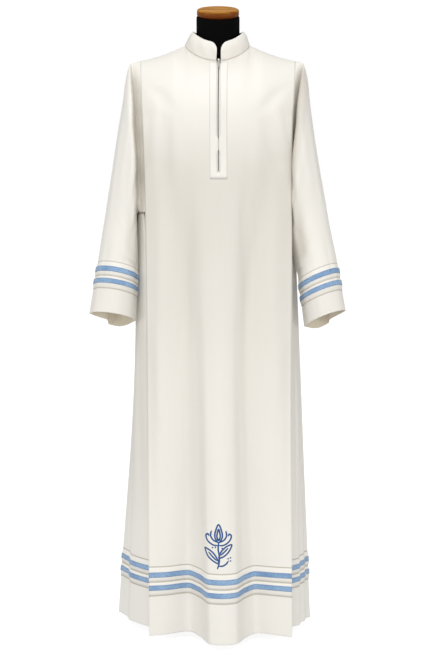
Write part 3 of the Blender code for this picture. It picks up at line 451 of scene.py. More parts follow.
def slopes_of(xs, ys):
    """Slope at each point of the smooth curve with no overshoot."""
    steps = [(y1 - y0) / (x1 - x0) for x0, x1, y0, y1 in zip(xs, xs[1:], ys, ys[1:])]
    inner = [2.0 * a * b / (a + b) if a * b > 0 else 0.0 for a, b in zip(steps, steps[1:])]
    return [steps[0]] + inner + [steps[-1]]


class Curve:
    """Smooth value at x of the curve through (xs, ys), with no overshoot."""

    def __init__(self, xs, ys):
        self.xs, self.ys = list(xs), list(ys)
        self.slopes = slopes_of(self.xs, self.ys)

    def __call__(self, x):
        xs, ys = self.xs, self.ys
        if x <= xs[0] or x >= xs[-1]:
            return ys[0] if x <= xs[0] else ys[-1]
        i = stretch_at(xs, x)
        h = xs[i + 1] - xs[i]
        t = (x - xs[i]) / h
        m0, m1 = self.slopes[i] * h, self.slopes[i + 1] * h
        return ((2 * t ** 3 - 3 * t ** 2 + 1) * ys[i] + (t ** 3 - 2 * t ** 2 + t) * m0
                + (3 * t ** 2 - 2 * t ** 3) * ys[i + 1] + (t ** 3 - t ** 2) * m1)


def curve_of(table, key, value):
    """The curve through two columns of a table."""
    return Curve([row[key] for row in table], [row[value] for row in table])


def curves_across(table, *places):
    """A curve through each of these columns, the rows evenly spaced from 0 to 1."""
    stations = [i / (len(table) - 1) for i in range(len(table))]
    return [Curve(stations, [row[k] for row in table]) for k in places]


def between(low, high, step):
    """Evenly spaced values from low up to, but not including, high."""
    count = max(1, round((high - low) / step))
    return [low + (high - low) * i / count for i in range(count)]


CREASE_END = 0.35  # a crease fades in and out over this share of its length


def crease(table, across, height):
    """How far the creases move the cloth out at a place."""
    total = 0.0
    for x0, z0, x1, z1, bow, width, depth in table:
        if min(z0, z1) <= height <= max(z0, z1):
            t = (height - z0) / (z1 - z0)
            middle = lerp(x0, x1, t) + bow * 4.0 * t * (1.0 - t)
            off = abs(across - middle) / width
            if off < 1.0:
                ends = ease(t / CREASE_END) * ease((1.0 - t) / CREASE_END)
                total -= depth * (1.0 - off * off) ** 2 * ends
    return total


# ---------------------------------------------------------------- sections of the robe
EDGE = {name: curve_of(EDGES, 0, k) for k, name in
        enumerate(("left", "right", "front_l", "front_r", "back"), 1)}
FOLD = curves_across(FRONT_FOLDS, 1, 2, 3, 4)
WELT_OUT, WELT_PAINTED_SHADE = curve_of(WELTS, 0, 1), curve_of(WELTS, 0, 2)
# Painted shade on the body panels by height above the hem: deepest just below the chest, least at the chest,
# deeper again towards the shoulders.
BODY_PAINTED_SHADE = Curve((0.2, 0.4, 0.65, 0.88, 1.16, 1.25, 1.33, 1.4, 1.46),
                  (0.06, 0.09, 0.15, 0.29, 0.41, 0.24, 0.04, 0.1, 0.3))
# Painted shade on each side panel by height above the floor; on the right it deepens up to the underarm.
SIDE_LEVELS = (0.25, 0.55, 0.8, 0.95, 1.1)
SIDE_PAINTED_SHADE = {"left": Curve(SIDE_LEVELS, (0.0, 0.2, 0.24, 0.2, 0.16)),
             "right": Curve(SIDE_LEVELS, (0.0, 0.12, 0.3, 0.55, 0.92))}
TO_BODY = Curve(ON_SLEEVE, ON_BODY)
CHEST_Y, CHEST_ROUND = -0.14, 2.3  # the chest's middle, and how squarely it turns to the edges
SHOULDER_SAG = 0.004
NECK_ROUND = 1.5
BACK_BULGE, BACK_BULGE_HEM, BACK_ROUND = 0.036, 0.034, 2.2
BACK_WAVE = 0.0153
# How far the cloth has turned over at the neckline and on the shoulder, and the run between.
NECK_TURN, SHOULDER_TURN = math.radians(56.0), math.radians(90.0)
TURN_RUN = 0.03
FLAT_FROM = 0.9  # from here to FLAT_CLIMB the shoulder flattens out


def top_point(x, front):
    """Upper end of the column at x: on the shoulder seam or on the neckline."""
    if abs(x - NECK_X) < NECK_HALF:
        depth = math.sqrt(1.0 - (abs(x - NECK_X) / NECK_HALF) ** 2)
        y = (NECK_FRONT_Y if front else NECK_BACK_Y) * depth
        middle = NECK_FRONT_Z if front else NECK_BACK_Z
        return Vector((x, y, NECK_SIDE_Z - (NECK_SIDE_Z - middle) * depth ** NECK_ROUND))
    end = SHOULDER_LEFT_X if x < NECK_X else SHOULDER_RIGHT_X
    start = NECK_X - NECK_HALF if x < NECK_X else NECK_X + NECK_HALF
    t = (x - start) / (end - start)
    z = lerp(NECK_SIDE_Z, SHOULDER_Z, t) - SHOULDER_SAG * math.sin(math.pi * t)
    return Vector((x, -SEAM / 2 if front else SEAM / 2, z))


def front_fold(u, z):
    """Front panel's point across at u (0 left, 1 right), below the chest."""
    side_y = lerp(EDGE["front_l"](z), EDGE["front_r"](z), u)
    x_top = lerp(EDGE["left"](z), EDGE["right"](z), u)
    y_top = lerp(CHEST_Y, side_y, abs(2 * u - 1) ** CHEST_ROUND)
    if z >= FOLD_TOP_Z:
        return x_top, y_top
    x_mid, y_mid, x_hem, y_hem = [curve(u) for curve in FOLD]
    levels = (HEM_Z, MID_Z, FOLD_TOP_Z)
    return Curve(levels, (x_hem, x_mid, x_top))(z), Curve(levels, (y_hem, y_mid, y_top))(z)


def back_fold(u, z):
    """Back panel's point across at u (0 right, 1 left), below the shoulders."""
    across = abs(2 * u - 1)
    fall = ease((FOLD_TOP_Z - z) / (FOLD_TOP_Z - HEM_Z))
    bulge = lerp(BACK_BULGE, BACK_BULGE_HEM, fall) * (1.0 - across ** BACK_ROUND)
    wave = BACK_WAVE * fall * math.cos(3.0 * math.pi * (2 * u - 1)) * (1.0 - across ** 6)
    return lerp(EDGE["right"](z), EDGE["left"](z), u), EDGE["back"](z) + bulge - wave


def column_point(u, x_top, z, climb, front):
    """A panel's point. climb is 0 up to the chest and 1 at the upper end."""
    fold = front_fold if front else back_fold
    if climb <= 0.0:
        return Vector((*fold(u, z), z))
    top = top_point(x_top, front)
    base_x, base_y = fold(u, CHEST_Z)
    beyond = (abs(x_top - NECK_X) - NECK_HALF) / TURN_RUN
    last = lerp(NECK_TURN, SHOULDER_TURN, ease(beyond))
    angle = climb * last
    rise = math.sin(angle) / math.sin(last)
    if abs(x_top - NECK_X) > NECK_HALF - 0.0001:
        rise = lerp(rise, 1.0, ease((climb - FLAT_FROM) / (FLAT_CLIMB - FLAT_FROM)))
    rest = (math.cos(angle) ** RIDGE_POWER - math.cos(last) ** RIDGE_POWER) \
        / (1.0 - math.cos(last) ** RIDGE_POWER)
    return Vector((lerp(base_x, top.x, rise), lerp(top.y, base_y, rest),
                   lerp(CHEST_Z, top.z, rise)))


# Rows: heights above the floor, close together where the ribbon bands lie.
ROW_GAP, EDGE_GAP = 0.0004, 0.0006  # the least between two rows, and beside a ribbon's row
WELT_STEP = 0.0024
HEM_START = [0.0, 0.0015, 0.005]
COLUMN_STEP = 0.0042
CLIMB_STEPS = 24


def ribbon_rows(ribbons):
    """Both edges of each ribbon, and the inner side of each darker edge."""
    return {round(h, 4) for low, high in ribbons.values()
            for h in (low, low + RIBBON_EDGE, high - RIBBON_EDGE, high)}


def band_rows(heights, ribbons):
    """The ribbons' rows, and the heights that aren't too near them or one another."""
    edges = ribbon_rows(ribbons)
    result = list(edges)
    last = None
    for h in sorted(heights):
        if last is None or h - last > ROW_GAP:
            last = h
            if all(abs(h - edge) > EDGE_GAP for edge in edges):
                result.append(h)
    return result


BAND_HEIGHTS = sorted(band_rows([row[0] for row in WELTS if WELT_LOW < row[0]]
                                + between(WELT_LOW, WELT_TOP, WELT_STEP), RIBBONS))
HEIGHTS = [HEM_Z + h for h in HEM_START + between(0.01, WELT_LOW, 0.01) + BAND_HEIGHTS]
for low, high, step in ((HEM_Z + WELT_TOP + 0.004, UNDERARM_Z, 0.012),
                        (UNDERARM_Z, PLACKET_END_Z, 0.01), (PLACKET_END_Z, ZIP_END_Z, 0.008),
                        (ZIP_END_Z, CHEST_Z, 0.0045)):
    HEIGHTS += between(low, high, step)
CLIMBS = [i / CLIMB_STEPS for i in range(CLIMB_STEPS + 1)]
CLIMB_LENGTH = 0.14  # about as long as the cloth is from the chest to the top


def fine_columns(fixed, step):
    """Columns no further apart than step, with the fixed ones among them."""
    result = []
    for low, high in zip(fixed[:-1], fixed[1:]):
        count = max(1, math.ceil((high - low) / step - 0.01))
        result += [low + (high - low) * i / count for i in range(count)]
    return result + [fixed[-1]]


NECK_ENDS = [NECK_X - NECK_HALF, NECK_X + NECK_HALF]
ZIP_COLUMNS = [-PLACKET_HALF, -ZIP_SLOT_HALF, -CHAIN_HALF, CHAIN_HALF, ZIP_SLOT_HALF, PLACKET_HALF]
FRONT_COLUMNS = fine_columns([SHOULDER_LEFT_X, NECK_ENDS[0], *ZIP_COLUMNS, NECK_ENDS[1],
                              SHOULDER_RIGHT_X], COLUMN_STEP)
BACK_COLUMNS = fine_columns([SHOULDER_LEFT_X, *NECK_ENDS, SHOULDER_RIGHT_X], COLUMN_STEP)[::-1]
SOFTENINGS = 14


class Sheet:
    """A grid of points, with each row's height on the flat cloth and each point's tone: on the cloth how
    much painted shade it has, on a ribbon how far it turns to its woven edges' deep blue.
    """

    def __init__(self, rows, heights, wrap=False):
        self.rows, self.heights, self.wrap = rows, heights, wrap
        self.tone = [[0.0] * len(rows[0]) for _ in rows]

    def normals(self):
        count, last = len(self.rows[0]), len(self.rows) - 1
        result = []
        for r, row in enumerate(self.rows):
            up, down = self.rows[min(r + 1, last)], self.rows[max(r - 1, 0)]
            line = []
            for c in range(count):
                if self.wrap:
                    after, before = row[(c + 1) % count], row[c - 1]
                else:
                    after, before = row[min(c + 1, count - 1)], row[max(c - 1, 0)]
                normal = (after - before).cross(up[c] - down[c])
                line.append(normal.normalized() if normal.length > 1e-12 else None)
            result.append(line)
        return result

    def lift(self, out):
        """Move each point out by out(row, column)."""
        normals = self.normals()
        self.rows = [[p + n * out(r, c) if n else p.copy()
                      for c, (p, n) in enumerate(zip(row, line))]
                     for r, (row, line) in enumerate(zip(self.rows, normals))]

    def lifted(self, distance, rows=None, columns=None):
        """Another grid this far out, cut to a range of rows and columns."""
        normals = self.normals()
        rows = rows or (0, len(self.rows))
        columns = columns or (0, len(self.rows[0]))
        return Sheet([[self.rows[r][c] + (normals[r][c] or Vector()) * distance
                       for c in range(*columns)] for r in range(*rows)],
                     self.heights[rows[0]:rows[1]], self.wrap)


FOLD_SHADES = ((0.27, 0.1, 1.0), (0.8, 0.11, 0.7))    # share across, width, weight
FOLD_SHADE = 0.11


def painted_fold_shade(u, height):
    """Painted shade, soft and broad, either side of the middle of a panel, below the chest."""
    share = sum(weight * bell(u, middle, width) for middle, width, weight in FOLD_SHADES)
    return FOLD_SHADE * share * ease((height - 0.18) / 0.25) * ease((1.2 - height) / 0.25)


def soften_beside_neck(row, weight):
    """Evens out the fold that runs down from either side of the neckline."""
    for _ in range(SOFTENINGS):
        before = [p.copy() for p in row]
        for a, b, c, p in zip(before[:-2], before[1:-1], before[2:], row[1:-1]):
            near = 1.0 - ease((abs(abs(b.x - NECK_X) - NECK_HALF) - 0.01) / 0.02)
            p.y = lerp(b.y, (a.y + c.y) / 2, 0.5 * weight * near)
            p.z = lerp(b.z, (a.z + c.z) / 2, 0.5 * weight * near)


def panel_sheet(columns, front):
    """A body panel with its creases and bands, hem row first."""
    first, last = columns[0], columns[-1]
    shares = [(x - first) / (last - first) for x in columns]
    rows = [[column_point(u, x, z, 0.0, front) for u, x in zip(shares, columns)]
            for z in HEIGHTS]
    rows += [[column_point(u, x, CHEST_Z, climb, front) for u, x in zip(shares, columns)]
             for climb in CLIMBS]
    for row, climb in zip(rows[len(HEIGHTS):], CLIMBS):
        soften_beside_neck(row, 1.0 - ease((climb - 0.6) / 0.35))
    heights = [z - HEM_Z for z in HEIGHTS] + [CHEST_Z - HEM_Z + CLIMB_LENGTH * c for c in CLIMBS]
    sheet = Sheet(rows, heights)
    table = FRONT_CREASES if front else BACK_CREASES
    width = len(columns)

    def out(r, c):
        point = rows[r][c]
        rim = ease(min(c, width - 1 - c) / 4.0)
        return WELT_OUT(heights[r]) + crease(table, point.x, point.z) * rim

    sheet.lift(out)
    # Painted shade: under the welts, by height, and either side of the panel's middle.
    sheet.tone = [[max(WELT_PAINTED_SHADE(h), BODY_PAINTED_SHADE(h) + painted_fold_shade(u, h)) for u in shares] for h in heights]
    return sheet


def behind_edge(side, z):
    """Start of the side panel: just behind the inner face of the front panel's edge."""
    inward = 1.0 if side == "left" else -1.0
    u = 0.0 if side == "left" else 1.0
    x, y = front_fold(u, z)
    near_x, near_y = front_fold(u + inward * 0.03, z)
    along = Vector((near_x - x, near_y - y, 0.0)).normalized()
    back = Vector((-along.y, along.x, 0.0)) * inward
    return Vector((x, y, z)) + along * 0.001 + back * (2 * CAD_CLOTH + CAD_SEAM)


# Columns of a side panel as shares of its width, close together at the pleats.
PLEATS = (0.475, 0.4825, 0.49, 0.4975, 0.535, 0.5425, 0.55, 0.5575, 0.575, 0.5825, 0.59, 0.5975)
SIDE_COLUMNS = fine_columns([0.0, 0.125, 0.25, 0.375, *PLEATS, 1.0], 0.015)
PLEAT_EDGE, PLEAT_RUN, PLEAT_FADE = 0.022, 0.3, 0.2


def side_sheet(table, side, back):
    """The side panel, hem row first, from behind the front's edge round to the back."""
    levels = (HEM_Z, MID_Z, UNDERARM_Z)
    sections = []
    for xt, yt, xm, ym, xh, yh in zip(*([curve(s) for s in SIDE_COLUMNS]
                                        for curve in curves_across(table, 1, 2, 3, 4, 5, 6))):
        sections.append((Curve(levels, (xh, xm, xt)), Curve(levels, (yh, ym, yt))))
    rows = []
    heights = []
    for z in [z for z in HEIGHTS if z < UNDERARM_Z - 0.002] + [UNDERARM_Z]:
        heights.append(z - HEM_Z)
        rows.append([behind_edge(side, z)] + [Vector((cx(z), cy(z), z)) for cx, cy in sections]
                    + [Vector((*back_fold(1.0 if side == "left" else 0.0, z), z))])
    shares = [0.0] + SIDE_COLUMNS + [1.0]
    if side == "left":
        rows = [row[::-1] for row in rows]
        shares = shares[::-1]
    sheet = Sheet(rows, heights)

    def out(r, c):
        under = ease((UNDERARM_Z - HEM_Z - heights[r]) / 0.1)
        welt = WELT_OUT(heights[r]) * ease((shares[c] - 0.02) / 0.1)
        return welt + crease(SIDE_CREASES[side], shares[c], rows[r][c].z) * under

    sheet.lift(out)
    for line, h in zip(sheet.rows, heights):
        low = ease((0.62 - h) / 0.4)
        for point, share in zip(line, shares):
            for start, rise in SIDE_FOLDS[side]:
                end = ease((start + PLEAT_RUN - share) / PLEAT_FADE)
                step = ease((share - start) / PLEAT_EDGE) * end * low
                point += Vector((0.0, rise * 1.2 * step, rise * step))
    seam_column, beside, seam_edge = (0, 1, -1) if side == "left" else (-1, -2, 0)
    for row, seam_row in zip(sheet.rows, back.rows):
        seam = seam_row[seam_edge]
        row[seam_column] = seam + (row[beside] - seam).normalized() * SEAM
    # Painted shade: under the welts, and by height.
    sheet.tone = [[max(WELT_PAINTED_SHADE(h), SIDE_PAINTED_SHADE[side](h + HEM_Z))] * len(shares) for h in heights]
    return sheet


# ---------------------------------------------------------------- sleeves
ROUND = 112  # points round a sleeve
HALF_ROUND = ROUND // 2
SHARP_TURN = math.radians(35.0)
ARMHOLE_Y = -0.006  # lowest place of the armhole
TUCK_POINTS, TUCK_DEPTH = 6, 0.012  # of the side panel, where it lies behind the front
SIGN = {"left": -1.0, "right": 1.0}


def resample(points, count):
    """count + 1 points evenly along a line, its sharp corners kept."""
    run = lengths_along(points)
    result = []
    for i in range(count + 1):
        at = run[-1] * i / count
        k = stretch_at(run, at)
        t = (at - run[k]) / max(run[k + 1] - run[k], TINY)
        result.append(points[k].lerp(points[k + 1], min(max(t, 0.0), 1.0)))
    for before, corner, after in zip(points, points[1:], points[2:]):
        if (corner - before).angle(after - corner, 0.0) > SHARP_TURN:
            near = min(range(1, count), key=lambda i: (result[i] - corner).length)
            result[near] = corner.copy()
    return result


def armhole(side, front, back, side_panel):
    """The armhole seam, ROUND points: down the front edge, under the arm, up the back."""
    column, other, step = (0, -1, -1) if side == "left" else (-1, 0, 1)
    start = nearest(HEIGHTS, UNDERARM_Z)
    out = Vector((SIGN[side] * SEAM, 0.0, 0.0))
    front_edge = [row[column] + out for row in front.rows[start:]]
    back_edge = [row[other] + out for row in back.rows[start:]]
    top = side_panel.rows[-1][::step]
    tuck_end = next(i for i, p in enumerate(top)
                    if i > TUCK_POINTS and p.y > front_edge[0].y + TUCK_DEPTH)
    under = [p + out + Vector((0.0, 0.0, SEAM)) for p in top[tuck_end:-1]]
    bottom = nearest([p.y for p in under], ARMHOLE_Y)
    down = front_edge[:0:-1] + [front_edge[0]] + under[:bottom + 1]
    up = under[bottom:] + back_edge
    down[0] = Vector((down[0].x, 0.0, down[0].z))
    up[-1] = down[0].copy()
    return resample(down, HALF_ROUND) + resample(up, HALF_ROUND)[1:-1]


CUFF_CURVES = [curve_of(CUFF_SECTION, 0, k) for k in (1, 2)]
OVAL_WIDE, OVAL_DEEP = 0.9, 0.85  # how square a ring's section is


def sleeve_ring(data, away):
    """A flattened ring from its outer and inner points, two depths and a lean."""
    out, inner = Vector(data[0:3]), Vector(data[3:6])
    front, back, lean, cuff = data[6:10]
    tilt = math.radians(lean)
    deep = Vector((0.0, math.cos(tilt), -math.sin(tilt)))
    ring = []
    for i in range(ROUND):
        c, s = math.cos(TURN * i / ROUND), math.sin(TURN * i / ROUND)
        across = 0.5 - 0.5 * math.copysign(abs(c) ** OVAL_WIDE, c)
        depth = -front if s > 0 else back
        section = CUFF_CURVES[0 if s > 0 else 1](across)
        share = lerp(abs(s) ** OVAL_DEEP, section, cuff)
        aside = max(depth, 0.0) * share * across * BACK_SKEW
        lower = CUFF_DROP[away] * cuff * section if depth > 0.0 else 0.0
        ring.append(out.lerp(inner, across) + deep * depth * share
                    + Vector((away * aside, 0.0, -lower)))
    return ring


def smooth_rings(rings, places, wanted):
    """Rings at the wanted places, each point on a smooth curve through the given rings."""
    result = [[Vector() for _ in range(ROUND)] for _ in wanted]
    for i in range(ROUND):
        for axis in range(3):
            curve = Curve(places, [ring[i][axis] for ring in rings])
            for k, place in enumerate(wanted):
                result[k][i][axis] = curve(place)
    return result


# Painted shade over all of a sleeve, and more low down towards the cuff.
SLEEVE_PAINTED_SHADE, LOW_PAINTED_SHADE = 0.09, 0.12
STREAK = (0.325, 0.028)   # share of the way round, and width


def painted_sleeve_shade(side, share, z):
    """How much painted shade a sleeve has: deeper beside the body, with a streak where it folds."""
    across = 0.5 - 0.5 * math.cos(TURN * share)
    beside = ease((across - 0.48) / 0.34) * ease((z - 0.96) / 0.16) * (share < 0.5)
    streak = bell(share, *STREAK) * ease((z - 1.02) / 0.08) * ease((1.34 - z) / 0.14)
    low = LOW_PAINTED_SHADE * ease((0.97 - z) / 0.06)
    return SLEEVE_PAINTED_SHADE + low + BESIDE_PAINTED_SHADE[side] * (beside + 0.5 * streak)


SLEEVE_STEP, SEAM_STEP = 0.008, 0.004
CUFF_BAND = (0.055, 0.138, 0.0022)  # rows through the welts: from, to, step
CUFF_CREASES = [0.0622, 0.063, 0.0948, 0.0955]
CUFF_TOP, CUFF_STEP = 0.054, 0.0075
WELT_SHARE = 0.9  # of a hem welt's height
BELOW = (0.25, 0.53)  # shares of the way round where the seam's painted shade is full


def sleeve_sheet(side, seam_ring, table):
    """A sleeve from the armhole to the cuff, wrapped round; cuff row first."""
    away = SIGN[side]
    shares = [i / ROUND for i in range(ROUND)]
    rings = [seam_ring]
    for steps in SEAM_RINGS:
        off, behind, up = [curve_of(steps, 0, k) for k in (1, 2, 3)]
        ring = []
        for at, p in zip(shares, seam_ring):
            lower = 1.0 - max(0.0, math.cos(TURN * at))
            run = away * off(at) * (1.0 - NARROW[side] * lower)
            ring.append(p + Vector((run, behind(at), up(at))))
        rings.append(ring)
    for line, bowed in itertools.zip_longest(table, BOWED, fillvalue=0.0):
        bow = away * BOW[side] * bowed
        rings.append([p - Vector((bow * max(0.0, math.sin(TURN * at)) ** 2, 0.0, 0.0))
                      for at, p in zip(shares, sleeve_ring(line, away))])

    def cuff_ring(run):
        t = run / CUFF_RUN
        return sleeve_ring([lerp(a, b, t) for a, b in zip(CUFFS[side], CUFF_RUN_TOP[side])], away)

    rings += [cuff_ring(run) for run in (CUFF_RUN, CUFF_RUN * 0.5, 0.0)]
    places = [0.0]
    for a, b in zip(rings[:-1], rings[1:]):
        places.append(places[-1] + sum((q - p).length for p, q in zip(a, b)) / ROUND)
    wanted = [0.0, places[1] * 0.5, places[1]]
    for low, high in zip(places[1:-3], places[2:-2]):
        count = max(1, math.ceil((high - low) / (SLEEVE_STEP if low > places[6] else SEAM_STEP)))
        wanted += [low + (high - low) * (i + 1) / count for i in range(count)]
    rows = smooth_rings(rings, places, wanted)
    runs = [places[-1] - place for place in wanted]
    drop = RIBBON_DROP[side]
    band = [h - drop for h in band_rows(between(*CUFF_BAND) + CUFF_CREASES, CUFF_RIBBONS)]
    cuff = HEM_START + between(0.01, CUFF_TOP - drop, CUFF_STEP)
    for run in sorted(band + cuff, reverse=True):
        rows.append(cuff_ring(run))
        runs.append(run)

    shade_along_sleeve = Curve(places[:len(SHADE[side])], SHADE[side])
    shade = [shade_along_sleeve(places[-1] - run) for run in runs][::-1]
    order = [0] + list(range(ROUND - 1, 0, -1)) if side == "right" else list(range(ROUND))
    rows = [[row[i] for i in order] for row in rows[::-1]]
    shares = [shares[i] for i in order]
    runs = runs[::-1]
    heights = [TO_BODY(run + drop) for run in runs]
    sheet = Sheet(rows, runs, True)
    sheet.lift(lambda r, c: WELT_OUT(heights[r]) * WELT_SHARE
               + crease(SLEEVE_CREASES, shares[c], rows[r][c].z) * ease(runs[r] / 0.1))
    lasting = [1.0 if BELOW[0] < at < BELOW[1] else min(1.0, 2.0 * abs(math.sin(TURN * at)))
               for at in shares]
    # Painted shade: under the welts, on the seam's rings and over the sleeve.
    sheet.tone = [[max(WELT_PAINTED_SHADE(h), tint * full, painted_sleeve_shade(side, at, row[0].z))
                   for at, full in zip(shares, lasting)]
                  for h, tint, row in zip(heights, shade, rows)]
    return sheet


# ---------------------------------------------------------------- collar
COLLAR_ROWS = 16
# Columns at a front corner, as distances from the opening.
CORNER_RUNS = [0.0, 0.0002, 0.0007, 0.0015, 0.0026, 0.004, 0.0057, 0.0077, 0.01, 0.013]
RIPPLES, RIPPLE_LEAN = 16.0, 5.0
COLLAR_SEAM = 0.04        # a dark line of painted shade along the collar's foot, below this share of its height
# Painted shade over the rest of the collar, less of it towards the top edge.
COLLAR_PAINTED_SHADE, COLLAR_PAINTED_SHADE_FALL = 0.34, 0.2


def collar_sheet(front_edge, back_edge):
    """Stand collar on the neckline's own points, its front corners rounded."""
    rises = [0.0, 0.03, COLLAR_FOOT]
    rises += [COLLAR_FOOT + (1 - COLLAR_FOOT) * i / COLLAR_ROWS for i in range(1, COLLAR_ROWS + 1)]
    limit = COLLAR_OPENING + COLLAR_CORNER

    def along(x):
        for low, high in zip(front_edge[:-1], front_edge[1:]):
            if x <= high.x:
                return low.lerp(high, (x - low.x) / (high.x - low.x))
        return front_edge[-1]

    neck = [p for p in front_edge if abs(p.x - NECK_X) < NECK_HALF + 0.0001]
    left = [along(-COLLAR_OPENING - run) for run in CORNER_RUNS]
    left += [p for p in reversed(neck) if p.x < -limit]
    right = [p for p in reversed(neck) if p.x > limit]
    right += [along(COLLAR_OPENING + run) for run in reversed(CORNER_RUNS)]
    behind = [p for p in back_edge[::-1] if abs(p.x - NECK_X) < NECK_HALF - 0.0001]
    rows = [[] for _ in rises]
    for place, feet in (("front", left), ("back", behind), ("front", right)):
        for foot in feet:
            across = min(max((foot.x - NECK_X) / NECK_HALF, -1.0), 1.0)
            depth = math.sqrt(1.0 - across ** 2)
            run = COLLAR_CORNER
            top_y = COLLAR_TOP_BACK * depth
            height = COLLAR_HEIGHT
            if place == "front":
                run = abs(foot.x) - COLLAR_OPENING
                top_y = -COLLAR_TOP_FRONT * depth
                height += COLLAR_FRONT_EXTRA * depth ** 1.5
            start = foot - Vector((0.0, 0.0, COLLAR_LAP))
            head = Vector((NECK_X + 0.002 + COLLAR_TOP_HALF * across, top_y, start.z + height))
            corner = max(0.0, 1.0 - run / COLLAR_CORNER)
            drop = COLLAR_CORNER * (1.0 - math.sqrt(max(0.0, 1.0 - corner ** 2)))
            outward = Vector((across, -depth if place == "front" else depth, 0.0))
            for k, rise in enumerate(rises):
                climbed = rise * (1.0 - drop / height)
                lean = max(0.0, climbed - COLLAR_FOOT) / (1.0 - COLLAR_FOOT)
                ripple = COLLAR_RIPPLE * math.sin(RIPPLES * across + RIPPLE_LEAN * lean) * (place == "front")
                spot = start.lerp(head, lean) + outward * (COLLAR_BOW + ripple) * math.sin(math.pi * lean)
                spot.z = lerp(start.z, head.z, climbed)
                rows[k].append(spot)
    sheet = Sheet([row[::-1] for row in rows], [rise * COLLAR_HEIGHT for rise in rises])
    sheet.tone = [[1.0 if rise < COLLAR_SEAM else COLLAR_PAINTED_SHADE - COLLAR_PAINTED_SHADE_FALL * ease(2.0 * rise - 1.0)]
                  * len(rows[0]) for rise in rises]
    return sheet


# ---------------------------------------------------------------- materials
def linear(red, green, blue):
    """A colour given as it looks on screen, 0 to 255, for a shader."""
    return tuple(((v / 255.0 + 0.055) / 1.055) ** 2.4 for v in (red, green, blue)) + (1.0,)


CREAM = linear(239, 237, 232)
CREAM_WARM = linear(237, 234, 226)
# The colour that painted shade mixes into the cream cloth.
PAINTED_SHADE_BEIGE = linear(190, 183, 171)
BLUE = linear(104, 148, 194)
BLUE_DEEP = linear(54, 100, 156)
# A paler blue for the painted sheen on the satin ribbons.
BLUE_SHEEN = linear(172, 202, 228)
EMBROIDERY = linear(0, 76, 136)
TAPE_GREY = linear(238, 235, 228)
NICKEL = linear(236, 235, 231)
BLACK = linear(4, 4, 5)
WOOD_DARK = linear(108, 52, 4)
WOOD_LIGHT = linear(202, 142, 56)
# A darker brown painted as shade on the cap's sides.
WOOD_SHADED_SIDE = linear(106, 48, 0)
STEEL = linear(226, 226, 223)


class Nodes:
    """Builds a material's node tree with short calls."""

    def __init__(self, name):
        self.material = bpy.data.materials.new(name)
        self.material.use_nodes = True
        self.tree = self.material.node_tree
        self.shader = self.tree.nodes["Principled BSDF"]

    def feed(self, socket, value):
        """Links a socket to another node's output, or sets its number."""
        if hasattr(value, "is_output"):
            self.tree.links.new(value, socket)
        else:
            socket.default_value = value

    def add(self, kind, inputs=None, **settings):
        node = self.tree.nodes.new(kind)
        for name, value in settings.items():
            setattr(node, name, value)
        for key, value in (inputs or {}).items():
            self.feed(node.inputs[key], value)
        return node

    def math(self, operation, a, b=0.0, c=0.0):
        return self.add("ShaderNodeMath", {0: a, 1: b, 2: c}, operation=operation).outputs[0]

    def times(self, a, b):
        return self.math("MULTIPLY", a, b)

    def mix(self, share, a, b):
        return self.add("ShaderNodeMix", {0: share, 6: a, 7: b}, data_type="RGBA",
                        clamp_factor=True).outputs[2]

    def noise(self, vector, scale, detail=3.0, roughness=0.5):
        return self.add("ShaderNodeTexNoise", {"Vector": vector, "Scale": scale, "Detail": detail,
                                               "Roughness": roughness}).outputs["Fac"]

    def stretched(self, vector, scale):
        return self.add("ShaderNodeVectorMath", {0: vector, 1: scale},
                        operation="MULTIPLY").outputs[0]

    def cloth_uv(self):
        return self.add("ShaderNodeUVMap", uv_map="cloth").outputs[0]

    def spot(self, output="Object"):
        return self.add("ShaderNodeTexCoord").outputs[output]

    def tone(self):
        return self.add("ShaderNodeAttribute", attribute_name="tone").outputs["Fac"]

    def axes(self, vector):
        return self.add("ShaderNodeSeparateXYZ", {0: vector}).outputs

    def bump(self, height, distance, strength=1.0, normal=None):
        inputs = {"Height": height, "Distance": distance, "Strength": strength}
        if normal is not None:
            inputs["Normal"] = normal
        return self.add("ShaderNodeBump", inputs).outputs[0]

    def set(self, **sockets):
        for name, value in sockets.items():
            self.feed(self.shader.inputs[name.replace("_", " ")], value)
        return self.material


def wave(nodes, coordinate, period):
    """A sine of this period in metres, from 0 to 1."""
    turned = nodes.math("SINE", nodes.times(coordinate, TURN / period))
    return nodes.math("MULTIPLY_ADD", turned, 0.5, 0.5)


THREAD_PITCH = 0.00062


def cloth_material(name, base, warm):
    """Plain-weave polyester and cotton: fine threads with slubs, matt with a faint sheen."""
    nodes = Nodes(name)
    uv = nodes.cloth_uv()
    axes = nodes.axes(uv)
    weft = nodes.noise(nodes.stretched(uv, (70.0, 1500.0, 1.0)), 1.0, 2.0)
    warp = nodes.noise(nodes.stretched(uv, (1500.0, 50.0, 1.0)), 1.0, 2.0)
    threads = nodes.math("ADD", weft, warp)
    over = nodes.times(wave(nodes, axes[0], THREAD_PITCH), wave(nodes, axes[1], THREAD_PITCH))
    soft = nodes.noise(uv, 7.0, 4.0)
    colour = nodes.mix(soft, base, warm)
    # Painted shade: the tone attribute mixes the cloth towards beige in grooves, under the welts, beside the
    # body and across the panels.
    colour = nodes.mix(nodes.tone(), colour, PAINTED_SHADE_BEIGE)
    height = nodes.math("ADD", nodes.times(threads, 0.7), over)
    normal = nodes.bump(height, 0.00006, 0.7)
    puckers = nodes.noise(uv, 26.0, 3.0, 0.55)
    normal = nodes.bump(puckers, 0.0016, 0.3, normal)
    return nodes.set(Base_Color=colour, Roughness=0.82, Sheen_Weight=0.12, Sheen_Roughness=0.4,
                     Specular_IOR_Level=0.25, Normal=normal)


